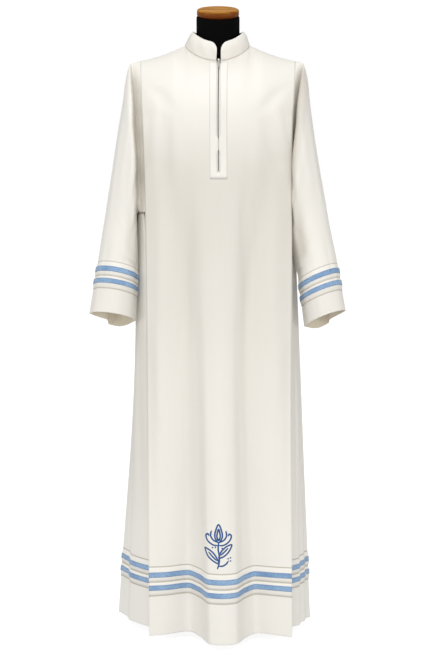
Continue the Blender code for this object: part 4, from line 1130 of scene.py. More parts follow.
def ribbon_material():
    """Satin ribbon: a fine diagonal twill, a painted sheen of light streaking and lighter blotches along it,
    and darker woven edges.
    """
    nodes = Nodes("blue_satin_ribbon")
    uv = nodes.cloth_uv()
    axes = nodes.axes(uv)
    slant = nodes.math("ADD", axes[0], axes[1])
    twill = wave(nodes, slant, 0.0044)
    fine = wave(nodes, slant, 0.0011)
    sheen_streaks = nodes.noise(nodes.stretched(uv, (30.0, 640.0, 1.0)), 1.0, 3.0)
    sheen_patches = nodes.noise(nodes.stretched(uv, (170.0, 420.0, 1.0)), 1.0, 3.0, 0.65)
    sheen_patches = nodes.math("MULTIPLY_ADD", sheen_patches, 4.4, -1.7)
    drift = nodes.math("MULTIPLY_ADD", nodes.noise(uv, 22.0, 2.0), 3.2, -1.35)
    # Painted sheen: light streaking and lighter blotches along the satin, mixed in towards a paler blue.
    colour = nodes.mix(sheen_streaks, BLUE, BLUE_SHEEN)
    for part, share, tint in ((twill, 0.42, BLUE_DEEP), (fine, 0.22, BLUE_DEEP),
                              (sheen_patches, 0.66, BLUE_SHEEN), (drift, 0.45, BLUE_DEEP)):
        colour = nodes.mix(nodes.times(part, share), colour, tint)
    colour = nodes.mix(nodes.tone(), colour, BLUE_DEEP)
    normal = nodes.bump(nodes.math("ADD", fine, sheen_streaks), 0.00008, 0.6)
    return nodes.set(Base_Color=colour, Roughness=0.42, Sheen_Weight=0.1, Specular_IOR_Level=0.45,
                     Anisotropic=0.4, Normal=normal)


def thread_material(name, colour, gloss):
    nodes = Nodes(name)
    twist = nodes.noise(nodes.spot(), 900.0, 2.0)
    darker = tuple(v * 0.6 for v in colour[:3]) + (1.0,)
    shaded = nodes.mix(nodes.times(twist, 0.4), colour, darker)
    return nodes.set(Base_Color=shaded, Roughness=gloss, Sheen_Weight=0.1,
                     Normal=nodes.bump(twist, 0.0002, 0.5))


def tape_material():
    """Zip tape: a narrow twill, a little greyer than the cloth."""
    nodes = Nodes("zip_tape")
    uv = nodes.cloth_uv()
    axes = nodes.axes(uv)
    twill = wave(nodes, nodes.math("ADD", axes[0], axes[1]), 0.0009)
    spots = nodes.noise(uv, 120.0, 3.0)
    colour = nodes.mix(nodes.times(twill, 0.4), TAPE_GREY, linear(206, 202, 194))
    colour = nodes.mix(nodes.times(spots, 0.3), colour, linear(222, 218, 210))
    return nodes.set(Base_Color=colour, Roughness=0.85, Normal=nodes.bump(twill, 0.0001, 0.6))


def metal_material(name, bright, dull):
    nodes = Nodes(name)
    wear = nodes.noise(nodes.spot(), 420.0, 3.0)
    rough = nodes.math("MULTIPLY_ADD", wear, 0.25, 0.22)
    colour = nodes.mix(wear, bright, dull)
    return nodes.set(Base_Color=colour, Metallic=0.8, Roughness=rough,
                     Normal=nodes.bump(wear, 0.00004, 0.4))


def jersey_material():
    """Black knitted cover: fine wales, almost no shine."""
    nodes = Nodes("black_jersey")
    spot = nodes.spot()
    axes = nodes.axes(spot)
    knit = nodes.noise(nodes.stretched(spot, (900.0, 900.0, 500.0)), 1.0, 2.0)
    wales = wave(nodes, nodes.math("ADD", axes[0], axes[1]), 0.0016)
    dust = nodes.noise(spot, 60.0, 4.0)
    colour = nodes.mix(nodes.times(dust, 0.35), BLACK, linear(13, 13, 14))
    normal = nodes.bump(nodes.math("ADD", knit, wales), 0.00012, 0.5)
    return nodes.set(Base_Color=colour, Roughness=0.95, Specular_IOR_Level=0.04, Normal=normal)


def wood_material():
    """Stained, varnished wood with its grain running across the cap."""
    nodes = Nodes("varnished_wood")
    spot = nodes.spot()
    grain = nodes.noise(nodes.stretched(spot, (26.0, 210.0, 900.0)), 1.0, 5.0, 0.6)
    rings = nodes.noise(nodes.stretched(spot, (5.0, 60.0, 120.0)), 1.0, 2.0)
    mixed = nodes.math("ADD", nodes.times(grain, 0.6), nodes.times(rings, 0.5))
    ramp = nodes.add("ShaderNodeValToRGB", {0: mixed})
    for stop, place, tint in zip(ramp.color_ramp.elements, (0.38, 0.66), (WOOD_DARK, WOOD_LIGHT)):
        stop.position = place
        stop.color = tint
    # Painted light and shade: faces that look up keep the grain's colours, the sides turn to a darker brown.
    facing_up = nodes.axes(nodes.spot("Normal"))[2]
    lit = nodes.math("MULTIPLY_ADD", facing_up, 0.7, 0.3)
    colour = nodes.mix(lit, WOOD_SHADED_SIDE, ramp.outputs[0])
    return nodes.set(Base_Color=colour, Roughness=0.5, Specular_IOR_Level=0.08,
                     Coat_Weight=0.03, Coat_Roughness=0.25, Normal=nodes.bump(grain, 0.0001, 0.35))


def steel_material():
    nodes = Nodes("white_powder_coat")
    spot = nodes.spot()
    grit = nodes.noise(spot, 700.0, 3.0)
    wear = nodes.noise(spot, 18.0, 4.0)
    colour = nodes.mix(nodes.times(wear, 0.3), STEEL, linear(205, 205, 200))
    return nodes.set(Base_Color=colour, Roughness=0.5,
                     Normal=nodes.bump(grit, 0.0002, 0.5))


CLOTH = cloth_material("cream_cloth", CREAM, CREAM_WARM)
# A lighter, warmer copy of the cloth on the sleeves' inner faces: painted warm light inside the cuffs.
LIT_INSIDE_CLOTH = cloth_material("cream_cloth_inside_painted_light", linear(252, 243, 224), linear(246, 237, 215))
FACING_CLOTH = cloth_material("cream_facing", linear(236, 234, 228), linear(233, 230, 223))
RIBBON = ribbon_material()
ZIP_STITCH = thread_material("pale_thread", linear(222, 218, 210), 0.7)
BLUE_STITCH = thread_material("blue_thread", BLUE_DEEP, 0.6)
SATIN_STITCH = thread_material("embroidery_thread", EMBROIDERY, 0.45)
TAPE = tape_material()
METAL = metal_material("zip_nickel", NICKEL, linear(208, 207, 203))
TEETH = metal_material("zip_teeth", linear(150, 149, 146), linear(118, 117, 115))
JERSEY = jersey_material()
WOOD = wood_material()
POWDER_COAT = steel_material()


# ---------------------------------------------------------------- meshes
def link(name, mesh):
    """A new object in the scene for a mesh."""
    made = bpy.data.objects.new(name, mesh)
    bpy.context.scene.collection.objects.link(made)
    return made


def dress(made, node=None, body=ROBE):
    """Ties a piece to its body and hides the CAD node that it stands for."""
    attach(made, body)
    if node:
        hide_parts(node)
    return made


def mesh_object(name, verts, faces, material, corner_uvs=None, tones=None):
    mesh = bpy.data.meshes.new(name)
    mesh.from_pydata([tuple(v) for v in verts], [], faces)
    mesh.materials.append(material)
    if corner_uvs:
        layer = mesh.uv_layers.new(name="cloth")
        for corner, uv in zip(layer.data, corner_uvs):
            corner.uv = uv
    if tones:
        mesh.attributes.new("tone", "FLOAT", "POINT").data.foreach_set("value", tones)
    mesh.shade_smooth()
    return link(name, mesh)


def shell(name, sheet, material, node=None, thickness=SHELL, outward=False, skip=None,
          inside=None):
    """A thin shell on a sheet's grid, standing for a CAD node and riding on the robe."""
    rows, wrap = sheet.rows, sheet.wrap
    count = len(rows[0])
    runs = [lengths_along(row + row[:1]) for row in rows]
    corners = []
    for r in range(len(rows) - 1):
        for c in range(count if wrap else count - 1):
            if not (skip and skip(r, c)):
                corners.append(((r, c), (r, c + 1), (r + 1, c + 1), (r + 1, c)))
    used = sorted({(r, c % count) for face in corners for r, c in face})
    number = {spot: i for i, spot in enumerate(used)}
    made = mesh_object(name, [rows[r][c] for r, c in used],
                       [tuple(number[r, c % count] for r, c in face) for face in corners],
                       material,
                       [(runs[r][c], sheet.heights[r]) for face in corners for r, c in face],
                       [sheet.tone[r][c] for r, c in used])
    solid = made.modifiers.new("thickness", "SOLIDIFY")
    solid.thickness = thickness
    solid.offset = 1.0 if outward else -1.0
    solid.use_quality_normals = True
    if inside:
        made.data.materials.append(inside)
        solid.material_offset = 1
    return dress(made, node)


def joined(name, shapes, material, node=None):
    """One object from many small (verts, faces) shapes."""
    verts, faces = [], []
    for points, sides in shapes:
        base = len(verts)
        verts += points
        faces += [tuple(base + i for i in side) for side in sides]
    return dress(mesh_object(name, verts, faces, material), node)


def stitch(a, b, normal, radius):
    """A short raised stitch from a to b: a stretched eight-sided bead."""
    along = b - a
    side = along.cross(normal).normalized() * radius
    up = normal.normalized() * radius
    points = [a - up * 0.6, b - up * 0.6]
    for centre in (a + along * 0.22, a + along * 0.78):
        points += [centre - side, centre + up, centre + side, centre - up]
    faces = [(0, 3, 2), (0, 4, 3), (0, 5, 4), (0, 2, 5), (1, 6, 7), (1, 7, 8), (1, 8, 9), (1, 9, 6)]
    faces += [(2 + i, 2 + (i + 1) % 4, 6 + (i + 1) % 4, 6 + i) for i in range(4)]
    return points, faces


def stitches(line, normals, length=0.0026, pitch=0.0036, radius=0.00022, lift=0.00012):
    """Stitches along a line of surface points."""
    run = lengths_along(line)

    def at(s):
        k = stretch_at(run, s)
        t = (s - run[k]) / max(run[k + 1] - run[k], TINY)
        normal = (normals[k] or normals[k + 1]).lerp(normals[k + 1] or normals[k], t)
        return line[k].lerp(line[k + 1], t) + normal * lift, normal

    shapes = []
    s = pitch * 0.5
    while s + length < run[-1]:
        (a, normal), (b, _) = at(s), at(s + length)
        shapes.append(stitch(a, b, normal, radius))
        s += pitch
    return shapes


# ---------------------------------------------------------------- the robe's panels
front = panel_sheet(FRONT_COLUMNS, True)
back = panel_sheet(BACK_COLUMNS, False)
sides = {"left": side_sheet(SIDE_LEFT, "left", back), "right": side_sheet(SIDE_RIGHT, "right", back)}
sleeves = {}
for side, table in (("left", LEFT_RINGS), ("right", RIGHT_RINGS)):
    sleeves[side] = sleeve_sheet(side, armhole(side, front, back, sides[side]), table)
collar = collar_sheet(front.rows[-1], back.rows[-1])

shell("front_cloth", front, CLOTH, "front_panel")
shell("back_cloth", back, CLOTH, "back_panel")
for side, sheet in sides.items():
    shell("side_cloth_" + side, sheet, CLOTH, "side_panel_" + side)
SLEEVE_CORNER = math.radians(48.0)  # sharper edges of a sleeve aren't smoothed over
for side, sheet in sleeves.items():
    made = shell("sleeve_cloth_" + side, sheet, CLOTH, "sleeve_" + side, inside=LIT_INSIDE_CLOTH)
    made.data.set_sharp_from_angle(angle=SLEEVE_CORNER)
COLLAR_THICKNESS = 0.0018
shell("collar_cloth", collar, CLOTH, "collar", COLLAR_THICKNESS)


# ---------------------------------------------------------------- ribbons
def ribbon(name, sheet, low, high, node):
    """A satin ribbon sewn round a band, with darker woven edges and a row of stitches on each."""
    first, last = nearest(sheet.heights, low), nearest(sheet.heights, high)
    strip = sheet.lifted(RIBBON_LIFT, rows=(first, last + 1))
    top = len(strip.rows) - 1
    strip.tone = [[1.0 if r in (0, top) else 0.15] * len(row) for r, row in enumerate(strip.rows)]
    made = shell(name, strip, RIBBON, node, RIBBON_THICKNESS, True)
    normals = strip.normals()
    shapes = []
    for r in (1, top - 1):
        line, over = strip.rows[r], normals[r]
        if strip.wrap:
            line, over = line + line[:1], over + over[:1]
        shapes += stitches(line, over, lift=RIBBON_THICKNESS)
    return made, joined(name + "_stitches", shapes, BLUE_STITCH)


ribbons = {}
for level, (low, high) in RIBBONS.items():
    for side, sheet in (("front", front), ("back", back), *sides.items()):
        name = "hem_ribbon_%s_%s" % (level, side)
        ribbons[name] = ribbon("satin_" + name, sheet, low, high, name)
for level, (low, high) in CUFF_RIBBONS.items():
    for side, sheet in sleeves.items():
        name = "sleeve_ribbon_%s_%s" % (level, side)
        drop = RIBBON_DROP[side]
        ribbons[name] = ribbon("satin_" + name, sheet, low - drop, high - drop, name)


# ---------------------------------------------------------------- placket and zip
GATHER_LOW, GATHER_HIGH = 1.254, 1.29  # here the facing's edges hide the chain
SLOT_HALF = 0.003  # the facing's edges stand this far from the middle elsewhere
FACING_LIFT = 0.0002
FACING = 0.0004
CLOSING_RUN = 0.006  # the edges close over twice this run
CLOSED_LIFT, CLOSED_HALF = 0.0022, 0.0003
PULLED = 0.45  # share of the way that the next columns go along


def build_placket():
    """The raised facing on both sides of the zip, its slot closing over the chain in one place."""
    low = nearest(front.heights, PLACKET_END_Z - HEM_Z)
    slot_end = nearest(front.heights, ZIP_END_Z - HEM_Z) - low
    first, last = [nearest(FRONT_COLUMNS, x) for x in (-PLACKET_HALF, PLACKET_HALF)]
    facing = front.lifted(FACING_LIFT, rows=(low, len(front.rows) - 1), columns=(first, last + 1))
    facing.tone = [[0.0] * len(row) for row in facing.rows]
    xs = FRONT_COLUMNS[first:last + 1]
    slot_first, slot_last = [nearest(xs, x) for x in (-ZIP_SLOT_HALF, ZIP_SLOT_HALF)]
    normals = facing.normals()
    middle, half = (GATHER_LOW + GATHER_HIGH) / 2, (GATHER_HIGH - GATHER_LOW) / 2
    for r, row in enumerate(facing.rows):
        for c in (slot_first, slot_last):
            row[c] = Vector((math.copysign(SLOT_HALF, xs[c]), row[c].y, row[c].z))
        off = abs(row[slot_first].z - middle)
        closing = ease((half + CLOSING_RUN - off) / (2 * CLOSING_RUN))
        if not closing:
            continue
        for c, pull in ((slot_first, 1.0), (slot_last, 1.0), (slot_first - 1, PULLED),
                        (slot_last + 1, PULLED)):
            away = math.copysign(CLOSED_HALF, xs[c])
            target = Vector((away, row[c].y, row[c].z)) + normals[r][c] * CLOSED_LIFT
            row[c] = row[c].lerp(target, closing * pull)
    shell("placket_facing", facing, FACING_CLOTH, "zip_placket", FACING, True,
          lambda r, c: r >= slot_end and slot_first <= c < slot_last)
    return facing, xs, slot_end


def column_line(sheet, xs, x, low_row):
    """The line up a sheet at x, its columns at xs, from a row upwards, and its normals."""
    c = last_within(xs, x + TINY)
    t = (x - xs[c]) / (xs[c + 1] - xs[c])
    return ([row[c].lerp(row[c + 1], t) for row in sheet.rows[low_row:]],
            [line[c] for line in sheet.normals()[low_row:]])


facing, facing_xs, slot_end = build_placket()
shapes = []
for x, start in ((-0.0064, slot_end - 1), (0.0064, slot_end - 1), (-0.0212, 1), (0.0212, 1)):
    shapes += stitches(*column_line(facing, facing_xs, x, start), lift=FACING, radius=0.00028,
                       length=0.003, pitch=0.0042)
joined("placket_stitches", shapes, ZIP_STITCH)

# The pull tab's hinge gives the slider's place; up and out are the front's at the neckline.
hinge = Vector(frame["joints"][0]["pos_m"])
X_AXIS = Vector((1.0, 0.0, 0.0))
middle_share = (0.0 - SHOULDER_LEFT_X) / (SHOULDER_RIGHT_X - SHOULDER_LEFT_X)
ZIP_UP = (column_point(middle_share, 0.0, CHEST_Z, 1.0, True)
          - column_point(middle_share, 0.0, CHEST_Z, FLAT_CLIMB, True)).normalized()
ZIP_OUT = X_AXIS.cross(ZIP_UP)
PIN_UP, PIN_OUT = 0.003, 0.0048
SLIDER_WIDTH, SLIDER_LENGTH, SLIDER_DEPTH = 0.0088, 0.011, 0.0028


def zip_axes(origin, up, out):
    axes = Matrix((X_AXIS, up, out)).transposed().to_4x4()
    axes.translation = origin
    return axes


# Places up the middle of the front from the zip's lower end, with their outward normals.
zip_row = nearest(front.heights, ZIP_END_Z - HEM_Z)
chain, chain_normals = column_line(front, FRONT_COLUMNS, 0.0, zip_row)


TOOTH_PITCH = 0.0013
TOOTH_REACH = 0.0013  # from the tape's edge to past the middle
TAPE_LIFT = 0.0001
TAPE_THICKNESS = 0.0003
CHAIN_START = 0.003
# Levels of a tooth, out and how wide there; its half width at its head and its foot.
TOOTH_LEVELS = ((0.0, 1.0), (0.0009, 1.0), (0.0013, 0.55))
TOOTH_HEAD, TOOTH_FOOT, TOOTH_BACK = 0.00042, 0.0003, -0.0003


def tooth(spot, up, out, hand):
    """One tooth: a bevelled bar that reaches past the middle from one side."""
    side = X_AXIS * hand
    points = []
    for out_at, grow in TOOTH_LEVELS:
        for reach, half in ((TOOTH_REACH * (0.5 + 0.5 * grow), TOOTH_HEAD * grow),
                            (TOOTH_BACK, TOOTH_FOOT * grow)):
            points += [spot + side * reach + up * half * sign + out * out_at for sign in (-1.0, 1.0)]
    faces = [(k + p, k + q, k + q + 4, k + p + 4)
             for k in (0, 4) for p, q in ((0, 1), (1, 3), (3, 2), (2, 0))]
    return points, faces + [(8, 9, 11, 10), (0, 2, 3, 1)]


def build_zip():
    """The tape, and the chain's teeth from the stop up to the slider."""
    first, last = [nearest(FRONT_COLUMNS, x) for x in (-ZIP_SLOT_HALF, ZIP_SLOT_HALF)]
    tape = front.lifted(TAPE_LIFT, rows=(zip_row, len(front.rows) - 1), columns=(first, last + 1))
    shell("zip_tape", tape, TAPE, None, TAPE_THICKNESS, True)
    shapes = []
    run, at, hand = 0.0, CHAIN_START, 1
    for a, b, normal in zip(chain[:-1], chain[1:], chain_normals):
        length = (b - a).length
        up = (b - a) / length
        while at < run + length:
            spot = a + up * (at - run) + normal * (TAPE_LIFT + TAPE_THICKNESS)
            if (spot - hinge).dot(ZIP_UP) > -SLIDER_LENGTH * 0.5 and spot.z > CHEST_Z:
                return shapes
            shapes.append(tooth(spot, up, normal, hand))
            hand = -hand
            at += TOOTH_PITCH / 2
        run += length
    return shapes


def oval(count, power, half_x, half_y, x=0.0, y=0.0, phase=0.5):
    """Points round a squarish oval: the smaller the power, the squarer."""
    result = []
    for i in range(count):
        angle = TURN * (i + phase) / count
        c, s = math.cos(angle), math.sin(angle)
        result.append((math.copysign(abs(c) ** power, c) * half_x + x,
                       math.copysign(abs(s) ** power, s) * half_y + y))
    return result


def skin(bm, outlines, top=True, closed=False):
    """Faces from each outline to the next, with caps or, closed, on to the first again."""
    rings = [[bm.verts.new(point) for point in outline] for outline in outlines]
    for low, high in zip(rings, rings[1:] + rings[:closed]):
        for i in range(len(low)):
            bm.faces.new((low[i - 1], low[i], high[i], high[i - 1]))
    if not closed:
        bm.faces.new(rings[0][::-1])
        if top:
            bm.faces.new(rings[-1])


SLAB_ROUND = 32


def rounded_slab(bm, half_x, half_y, low, high, centre, corner):
    """A slab with rounded corners and bevelled rims."""
    rim = min(high - low, half_x, half_y) * 0.35
    skin(bm, [[(x, y, z) for x, y in oval(SLAB_ROUND, corner, half_x - inset, half_y - inset, *centre)]
              for z, inset in ((low, rim), (low + rim, 0.0), (high - rim, 0.0), (high, rim))])


def rod_along_x(bm, radius, half, centre, sides=16):
    made = bmesh.ops.create_cone(bm, cap_ends=True, segments=sides, radius1=radius,
                                 radius2=radius, depth=2 * half)["verts"]
    turn = Matrix.Rotation(math.pi / 2, 4, "Y")
    bmesh.ops.transform(bm, matrix=Matrix.Translation(centre) @ turn, verts=made)


MERGE = 0.00002


def solid_piece(name, bm, material, sharp=40.0):
    """An object from a bmesh, smooth but for edges sharper than this many degrees."""
    bmesh.ops.remove_doubles(bm, verts=bm.verts, dist=MERGE)
    bmesh.ops.recalc_face_normals(bm, faces=bm.faces)
    mesh = bpy.data.meshes.new(name)
    bm.to_mesh(mesh)
    bm.free()
    mesh.materials.append(material)
    mesh.shade_smooth()
    mesh.set_sharp_from_angle(angle=math.radians(sharp))
    return link(name, mesh)


FLOOR_PLATE, ROOF_PLATE = 0.0007, 0.0009    # thickness
WALL_HALF, WALL_IN = 0.0007, 0.0009
LUG_HALF, LUG_LONG, LUG_TOP, LUG_X, LUG_RADIUS, LUG_UP = 0.00055, 0.0016, 0.0009, 0.0033, 0.00105, 0.0001
PIN_RADIUS, PIN_HALF = 0.0006, 0.0036
SLIDER_BEVEL = 0.00012


def build_slider():
    """Slider: two plates round the chain, side walls, and lugs that hold the pin."""
    bm = bmesh.new()
    foot = -PIN_OUT
    roof = foot + SLIDER_DEPTH
    half_x, half_y, middle = SLIDER_WIDTH / 2, SLIDER_LENGTH / 2, (0.0, -PIN_UP)
    rounded_slab(bm, half_x, half_y, foot, foot + FLOOR_PLATE, middle, 0.42)
    rounded_slab(bm, half_x * 0.94, half_y * 0.96, roof - ROOF_PLATE, roof, middle, 0.5)
    for x in (-1, 1):
        rounded_slab(bm, WALL_HALF, half_y * 0.72, foot + 0.0006, roof - 0.0005,
                     (x * (half_x - WALL_IN), -PIN_UP), 0.6)
        rounded_slab(bm, LUG_HALF, LUG_LONG, roof - 0.0006, LUG_TOP, (x * LUG_X, 0.0), 0.7)
        rod_along_x(bm, LUG_RADIUS, LUG_HALF, (x * LUG_X, 0.0, LUG_UP))
    rod_along_x(bm, PIN_RADIUS, PIN_HALF, (0.0, 0.0, 0.0))
    bmesh.ops.transform(bm, matrix=zip_axes(hinge, ZIP_UP, ZIP_OUT), verts=bm.verts)
    made = solid_piece("slider_body", bm, TEETH)
    rim = made.modifiers.new("rim", "BEVEL")
    rim.width = SLIDER_BEVEL
    rim.segments = 2
    dress(made, "zip_slider")


EYE_SIDES, EYE_HOLE = 24, 0.001
EYE = ((-0.0023, 0.00135), (-0.0021, 0.0015), (0.0021, 0.0015), (0.0023, 0.00135))  # x, radius
TAB_HALF, TAB_TOP, TAB_END = 0.0029, -0.004, -0.03
TAB_ROUND, TAB_CORNER, TAB_RIM, TAB_THICK = 40, 0.55, 0.00018, 0.001
RIM_SCALE = 0.0028  # the rim's inset as a share of this is taken off the width


def build_pull():
    """Pull tab: an eye round the pin, a narrow shank and a rounded plate with a hole."""
    bm = bmesh.new()
    eye = [(x, radius) for x, radius in EYE] + [(x, EYE_HOLE) for x, _ in reversed(EYE)]
    skin(bm, [[(x, y, z) for y, z in oval(EYE_SIDES, 1.0, r, r, phase=0.0)] for x, r in eye],
         closed=True)
    low, high = -TAB_THICK / 2, TAB_THICK / 2
    rounded_slab(bm, 0.0019, 0.002, low, high, (0.0, -0.003), 0.5)
    middle, half_run = (TAB_TOP + TAB_END) / 2, (TAB_TOP - TAB_END) / 2
    outer = []
    for (x, y), (_, s) in zip(oval(TAB_ROUND, TAB_CORNER, TAB_HALF, half_run, 0.0, middle),
                              oval(TAB_ROUND, 1.0, 1.0, 1.0)):
        outer.append((x * (1.0 - 0.16 * ease((s + 0.2) / 1.2)), y))
    hole = oval(TAB_ROUND, 1.0, 0.0012, 0.0019, 0.0, TAB_END + 0.0042)
    plates = [[(x * (1 - inset / RIM_SCALE), y, z) for x, y in outer]
              for z, inset in ((low, TAB_RIM), (low + TAB_RIM, 0.0), (high - TAB_RIM, 0.0),
                               (high, TAB_RIM))]
    holes = [[(x, y, z) for x, y in hole] for z in (high, low)]
    skin(bm, plates + holes, closed=True)
    bmesh.ops.transform(bm, matrix=zip_axes(hinge, ZIP_UP, ZIP_OUT), verts=bm.verts)
    dress(solid_piece("pull_tab_plate", bm, METAL), "zip_pull_tab", TAB)


def build_stop():
    """The crimped bar across the chain's lower end."""
    up = (chain[1] - chain[0]).normalized()
    place = chain[0] + up * 0.0012 + chain_normals[0] * TAPE_THICKNESS
    bm = bmesh.new()
    rounded_slab(bm, 0.0029, 0.0015, 0.0, 0.0016, (0.0, 0.0), 0.5)
    bmesh.ops.transform(bm, matrix=zip_axes(place, up, chain_normals[0]), verts=bm.verts)
    dress(solid_piece("stop_bar", bm, METAL, sharp=180.0), "zip_end_stop")


joined("zip_teeth", build_zip(), TEETH, "zip_chain")
build_stop()
build_slider()
build_pull()


# ---------------------------------------------------------------- embroidery
# A budded sprig in line stitch, millimetres from ORNAMENT_FOOT; x runs right, z up.
ORNAMENT_FOOT = (0.0, 0.215)
THREAD_HALF = 0.0022  # half the width of a stitched line
THREAD_HEIGHT = 0.0006
SPRIG = {
    # name: (closed, points)
    "stem": (False, [(-3, 0), (1, 14), (2, 32), (-1, 50), (0, 68)]),
    "bud": (True, [(0, 67), (-9, 80), (-8, 95), (0, 113), (8, 95), (9, 80)]),
    "bud_heart": (True, [(0, 73), (-4, 82), (-3, 92), (0, 101), (3, 92), (4, 82)]),
    "sepal_left": (False, [(-1, 68), (-13, 73), (-20, 84), (-18, 97)]),
    "sepal_right": (False, [(1, 68), (13, 73), (20, 84), (18, 97)]),
    "curl_left": (False, [(-2, 60), (-14, 61), (-27, 70), (-32, 82), (-27, 88), (-24, 83)]),
    "curl_right": (False, [(0, 60), (14, 61), (27, 70), (32, 82), (27, 88), (24, 83)]),
    "leaf_left": (True, [(1, 15), (-12, 19), (-27, 32), (-34, 50), (-22, 47), (-9, 35)]),
    "leaf_right": (True, [(1, 29), (13, 32), (26, 44), (33, 60), (20, 57), (7, 45)]),
    "vein_left": (False, [(-4, 21), (-15, 31), (-25, 42)]),
    "vein_right": (False, [(5, 35), (15, 44), (24, 53)]),
    "twig_right": (False, [(0, 8), (10, 8), (19, 13), (25, 21)]),
}
BERRIES = [(24, 26), (30, 20), (30, 28), (-8, 55), (-15, 54), (9, 53)]
BERRY_RADIUS = 0.0021


def smooth_line(points, closed, pieces=8):
    """A smooth curve through the points."""
    count = len(points)
    result = []
    for i in range(count if closed else count - 1):
        p0 = points[i - 1] if closed or i else points[0]
        p1, p2 = points[i], points[(i + 1) % count]
        p3 = points[(i + 2) % count] if closed or i + 2 < count else points[-1]
        for k in range(pieces):
            t = k / pieces
            result.append(tuple(0.5 * (2 * b + (c - a) * t + (2 * a - 5 * b + 4 * c - d) * t * t
                                       + (3 * b - a - 3 * c + d) * t ** 3)
                                for a, b, c, d in zip(p0, p1, p2, p3)))
    return result if closed else result + [points[-1]]


front_normals = front.normals()


def on_front(x, z):
    """Point and outward normal of the front panel at x and z."""
    r = last_within(front.heights[:len(front.rows)], z - HEM_Z)
    found = []
    for row, line in ((front.rows[r], front_normals[r]), (front.rows[r + 1], front_normals[r + 1])):
        c = last_within([p.x for p in row], x)
        t = (x - row[c].x) / (row[c + 1].x - row[c].x)
        found.append((row[c].lerp(row[c + 1], t), line[c].lerp(line[c + 1], t)))
    share = (z - HEM_Z - front.heights[r]) / (front.heights[r + 1] - front.heights[r])
    (p, n), (q, m) = found
    return p.lerp(q, share), n.lerp(m, share).normalized()


LINE_END, TAPER_POINTS = 0.62, 5.0    # an open line's ends are this much narrower
PROFILE = ((-1.0, -0.1), (-0.72, 0.7), (0.0, 1.0), (0.72, 0.7), (1.0, -0.1))
PER_METRE = 1000.0
BERRY_SIDES = 14
BERRY_RINGS = ((1.0, -0.1), (0.8, 0.9), (0.45, 1.35))  # share of the radius, and height
BERRY_TOP = 1.5
BERRY_UV = 0.001


def on_robe(x, z):
    """A place of the ornament, in millimetres, as the front panel's x and z."""
    return ORNAMENT_FOOT[0] + x / PER_METRE, ORNAMENT_FOOT[1] + z / PER_METRE


def build_ornament():
    """The sprig's lines as raised satin cords, and the berries as low domes."""
    verts, faces, corner_uvs = [], [], []
    for closed, points in SPRIG.values():
        line = [on_robe(x, z) for x, z in smooth_line(points, closed)]
        count = len(line)
        run = 0.0
        base = len(verts)
        runs = []
        for i, (x, z) in enumerate(line):
            after = line[(i + 1) % count] if closed or i + 1 < count else line[i]
            before = line[i - 1] if closed or i else line[i]
            along = Vector((after[0] - before[0], after[1] - before[1])).normalized()
            taper = 1.0 if closed else lerp(LINE_END, 1.0, ease(min(i, count - 1 - i) / TAPER_POINTS))
            if i:
                run += math.dist(line[i], line[i - 1])
            runs.append(run)
            for offset, height in PROFILE:
                half = THREAD_HALF * taper * offset
                point, normal = on_front(x - along.y * half, z + along.x * half)
                verts.append(point + normal * THREAD_HEIGHT * height)
        for i in range(count if closed else count - 1):
            n = (i + 1) % count
            end = runs[n] if n else run + math.dist(line[0], line[-1])
            for k in range(4):
                faces.append((base + i * 5 + k, base + i * 5 + k + 1, base + n * 5 + k + 1,
                              base + n * 5 + k))
                low, high = k * THREAD_HALF / 2, (k + 1) * THREAD_HALF / 2
                corner_uvs += [(runs[i], low), (runs[i], high), (end, high), (end, low)]
    for berry in BERRIES:
        centre = on_robe(*berry)
        base = len(verts)
        for share, height in BERRY_RINGS:
            for x, z in oval(BERRY_SIDES, 1.0, BERRY_RADIUS * share, BERRY_RADIUS * share, *centre,
                             phase=0.0):
                point, normal = on_front(x, z)
                verts.append(point + normal * THREAD_HEIGHT * height)
        point, normal = on_front(*centre)
        verts.append(point + normal * THREAD_HEIGHT * BERRY_TOP)
        for ring in (0, 1, 2):
            low, high = ring * BERRY_UV, ring * BERRY_UV + BERRY_UV
            for i in range(BERRY_SIDES):
                u, end = i * BERRY_UV, i * BERRY_UV + BERRY_UV
                a = base + ring * BERRY_SIDES + i
                b = base + ring * BERRY_SIDES + (i + 1) % BERRY_SIDES
                if ring == 2:
                    faces.append((a, b, base + 3 * BERRY_SIDES))
                    corner_uvs += [(u, low), (end, low), (u, high)]
                else:
                    faces.append((a, b, b + BERRY_SIDES, a + BERRY_SIDES))
                    corner_uvs += [(u, low), (end, low), (end, high), (u, high)]
    dress(mesh_object("embroidered_sprig", verts, faces, SATIN_STITCH, corner_uvs))


build_ornament()


# ---------------------------------------------------------------- dress form
FORM_RINGS = [
    # z, half_x, front, back
    (0.8, 0.15, 0.1, 0.075),
    (0.88, 0.156, 0.105, 0.08),
    (0.98, 0.152, 0.1, 0.076),
    (1.1, 0.138, 0.095, 0.064),
    (1.22, 0.148, 0.108, 0.064),
]
FORM_ROUND = 2.3
FORM_GAP = 0.0005
FORM_HALF_TOP = 0.18
FORM_HALF_LOW = 0.164
FORM_LOW_Z = 1.32
FORM_FRONT = 0.118
FORM_BACK = 0.08
NECK_RADIUS = 0.0545
NECK_TOP_Z = 1.593
CAP_TILT = math.radians(15.0)
CAP_AXIS = Vector((0.0, -math.sin(CAP_TILT), math.cos(CAP_TILT)))


FORM_PLAY = 0.0004        # more room under the robe
FORM_RIDGE_POWER = RIDGE_POWER + 0.15
NECK_DIP = 0.01           # the form's ridge dips towards the neck
ROUND_OFF, ROUND_FROM, ROUND_POWER = 0.06, 0.8, 2.2    # at the shoulder's end


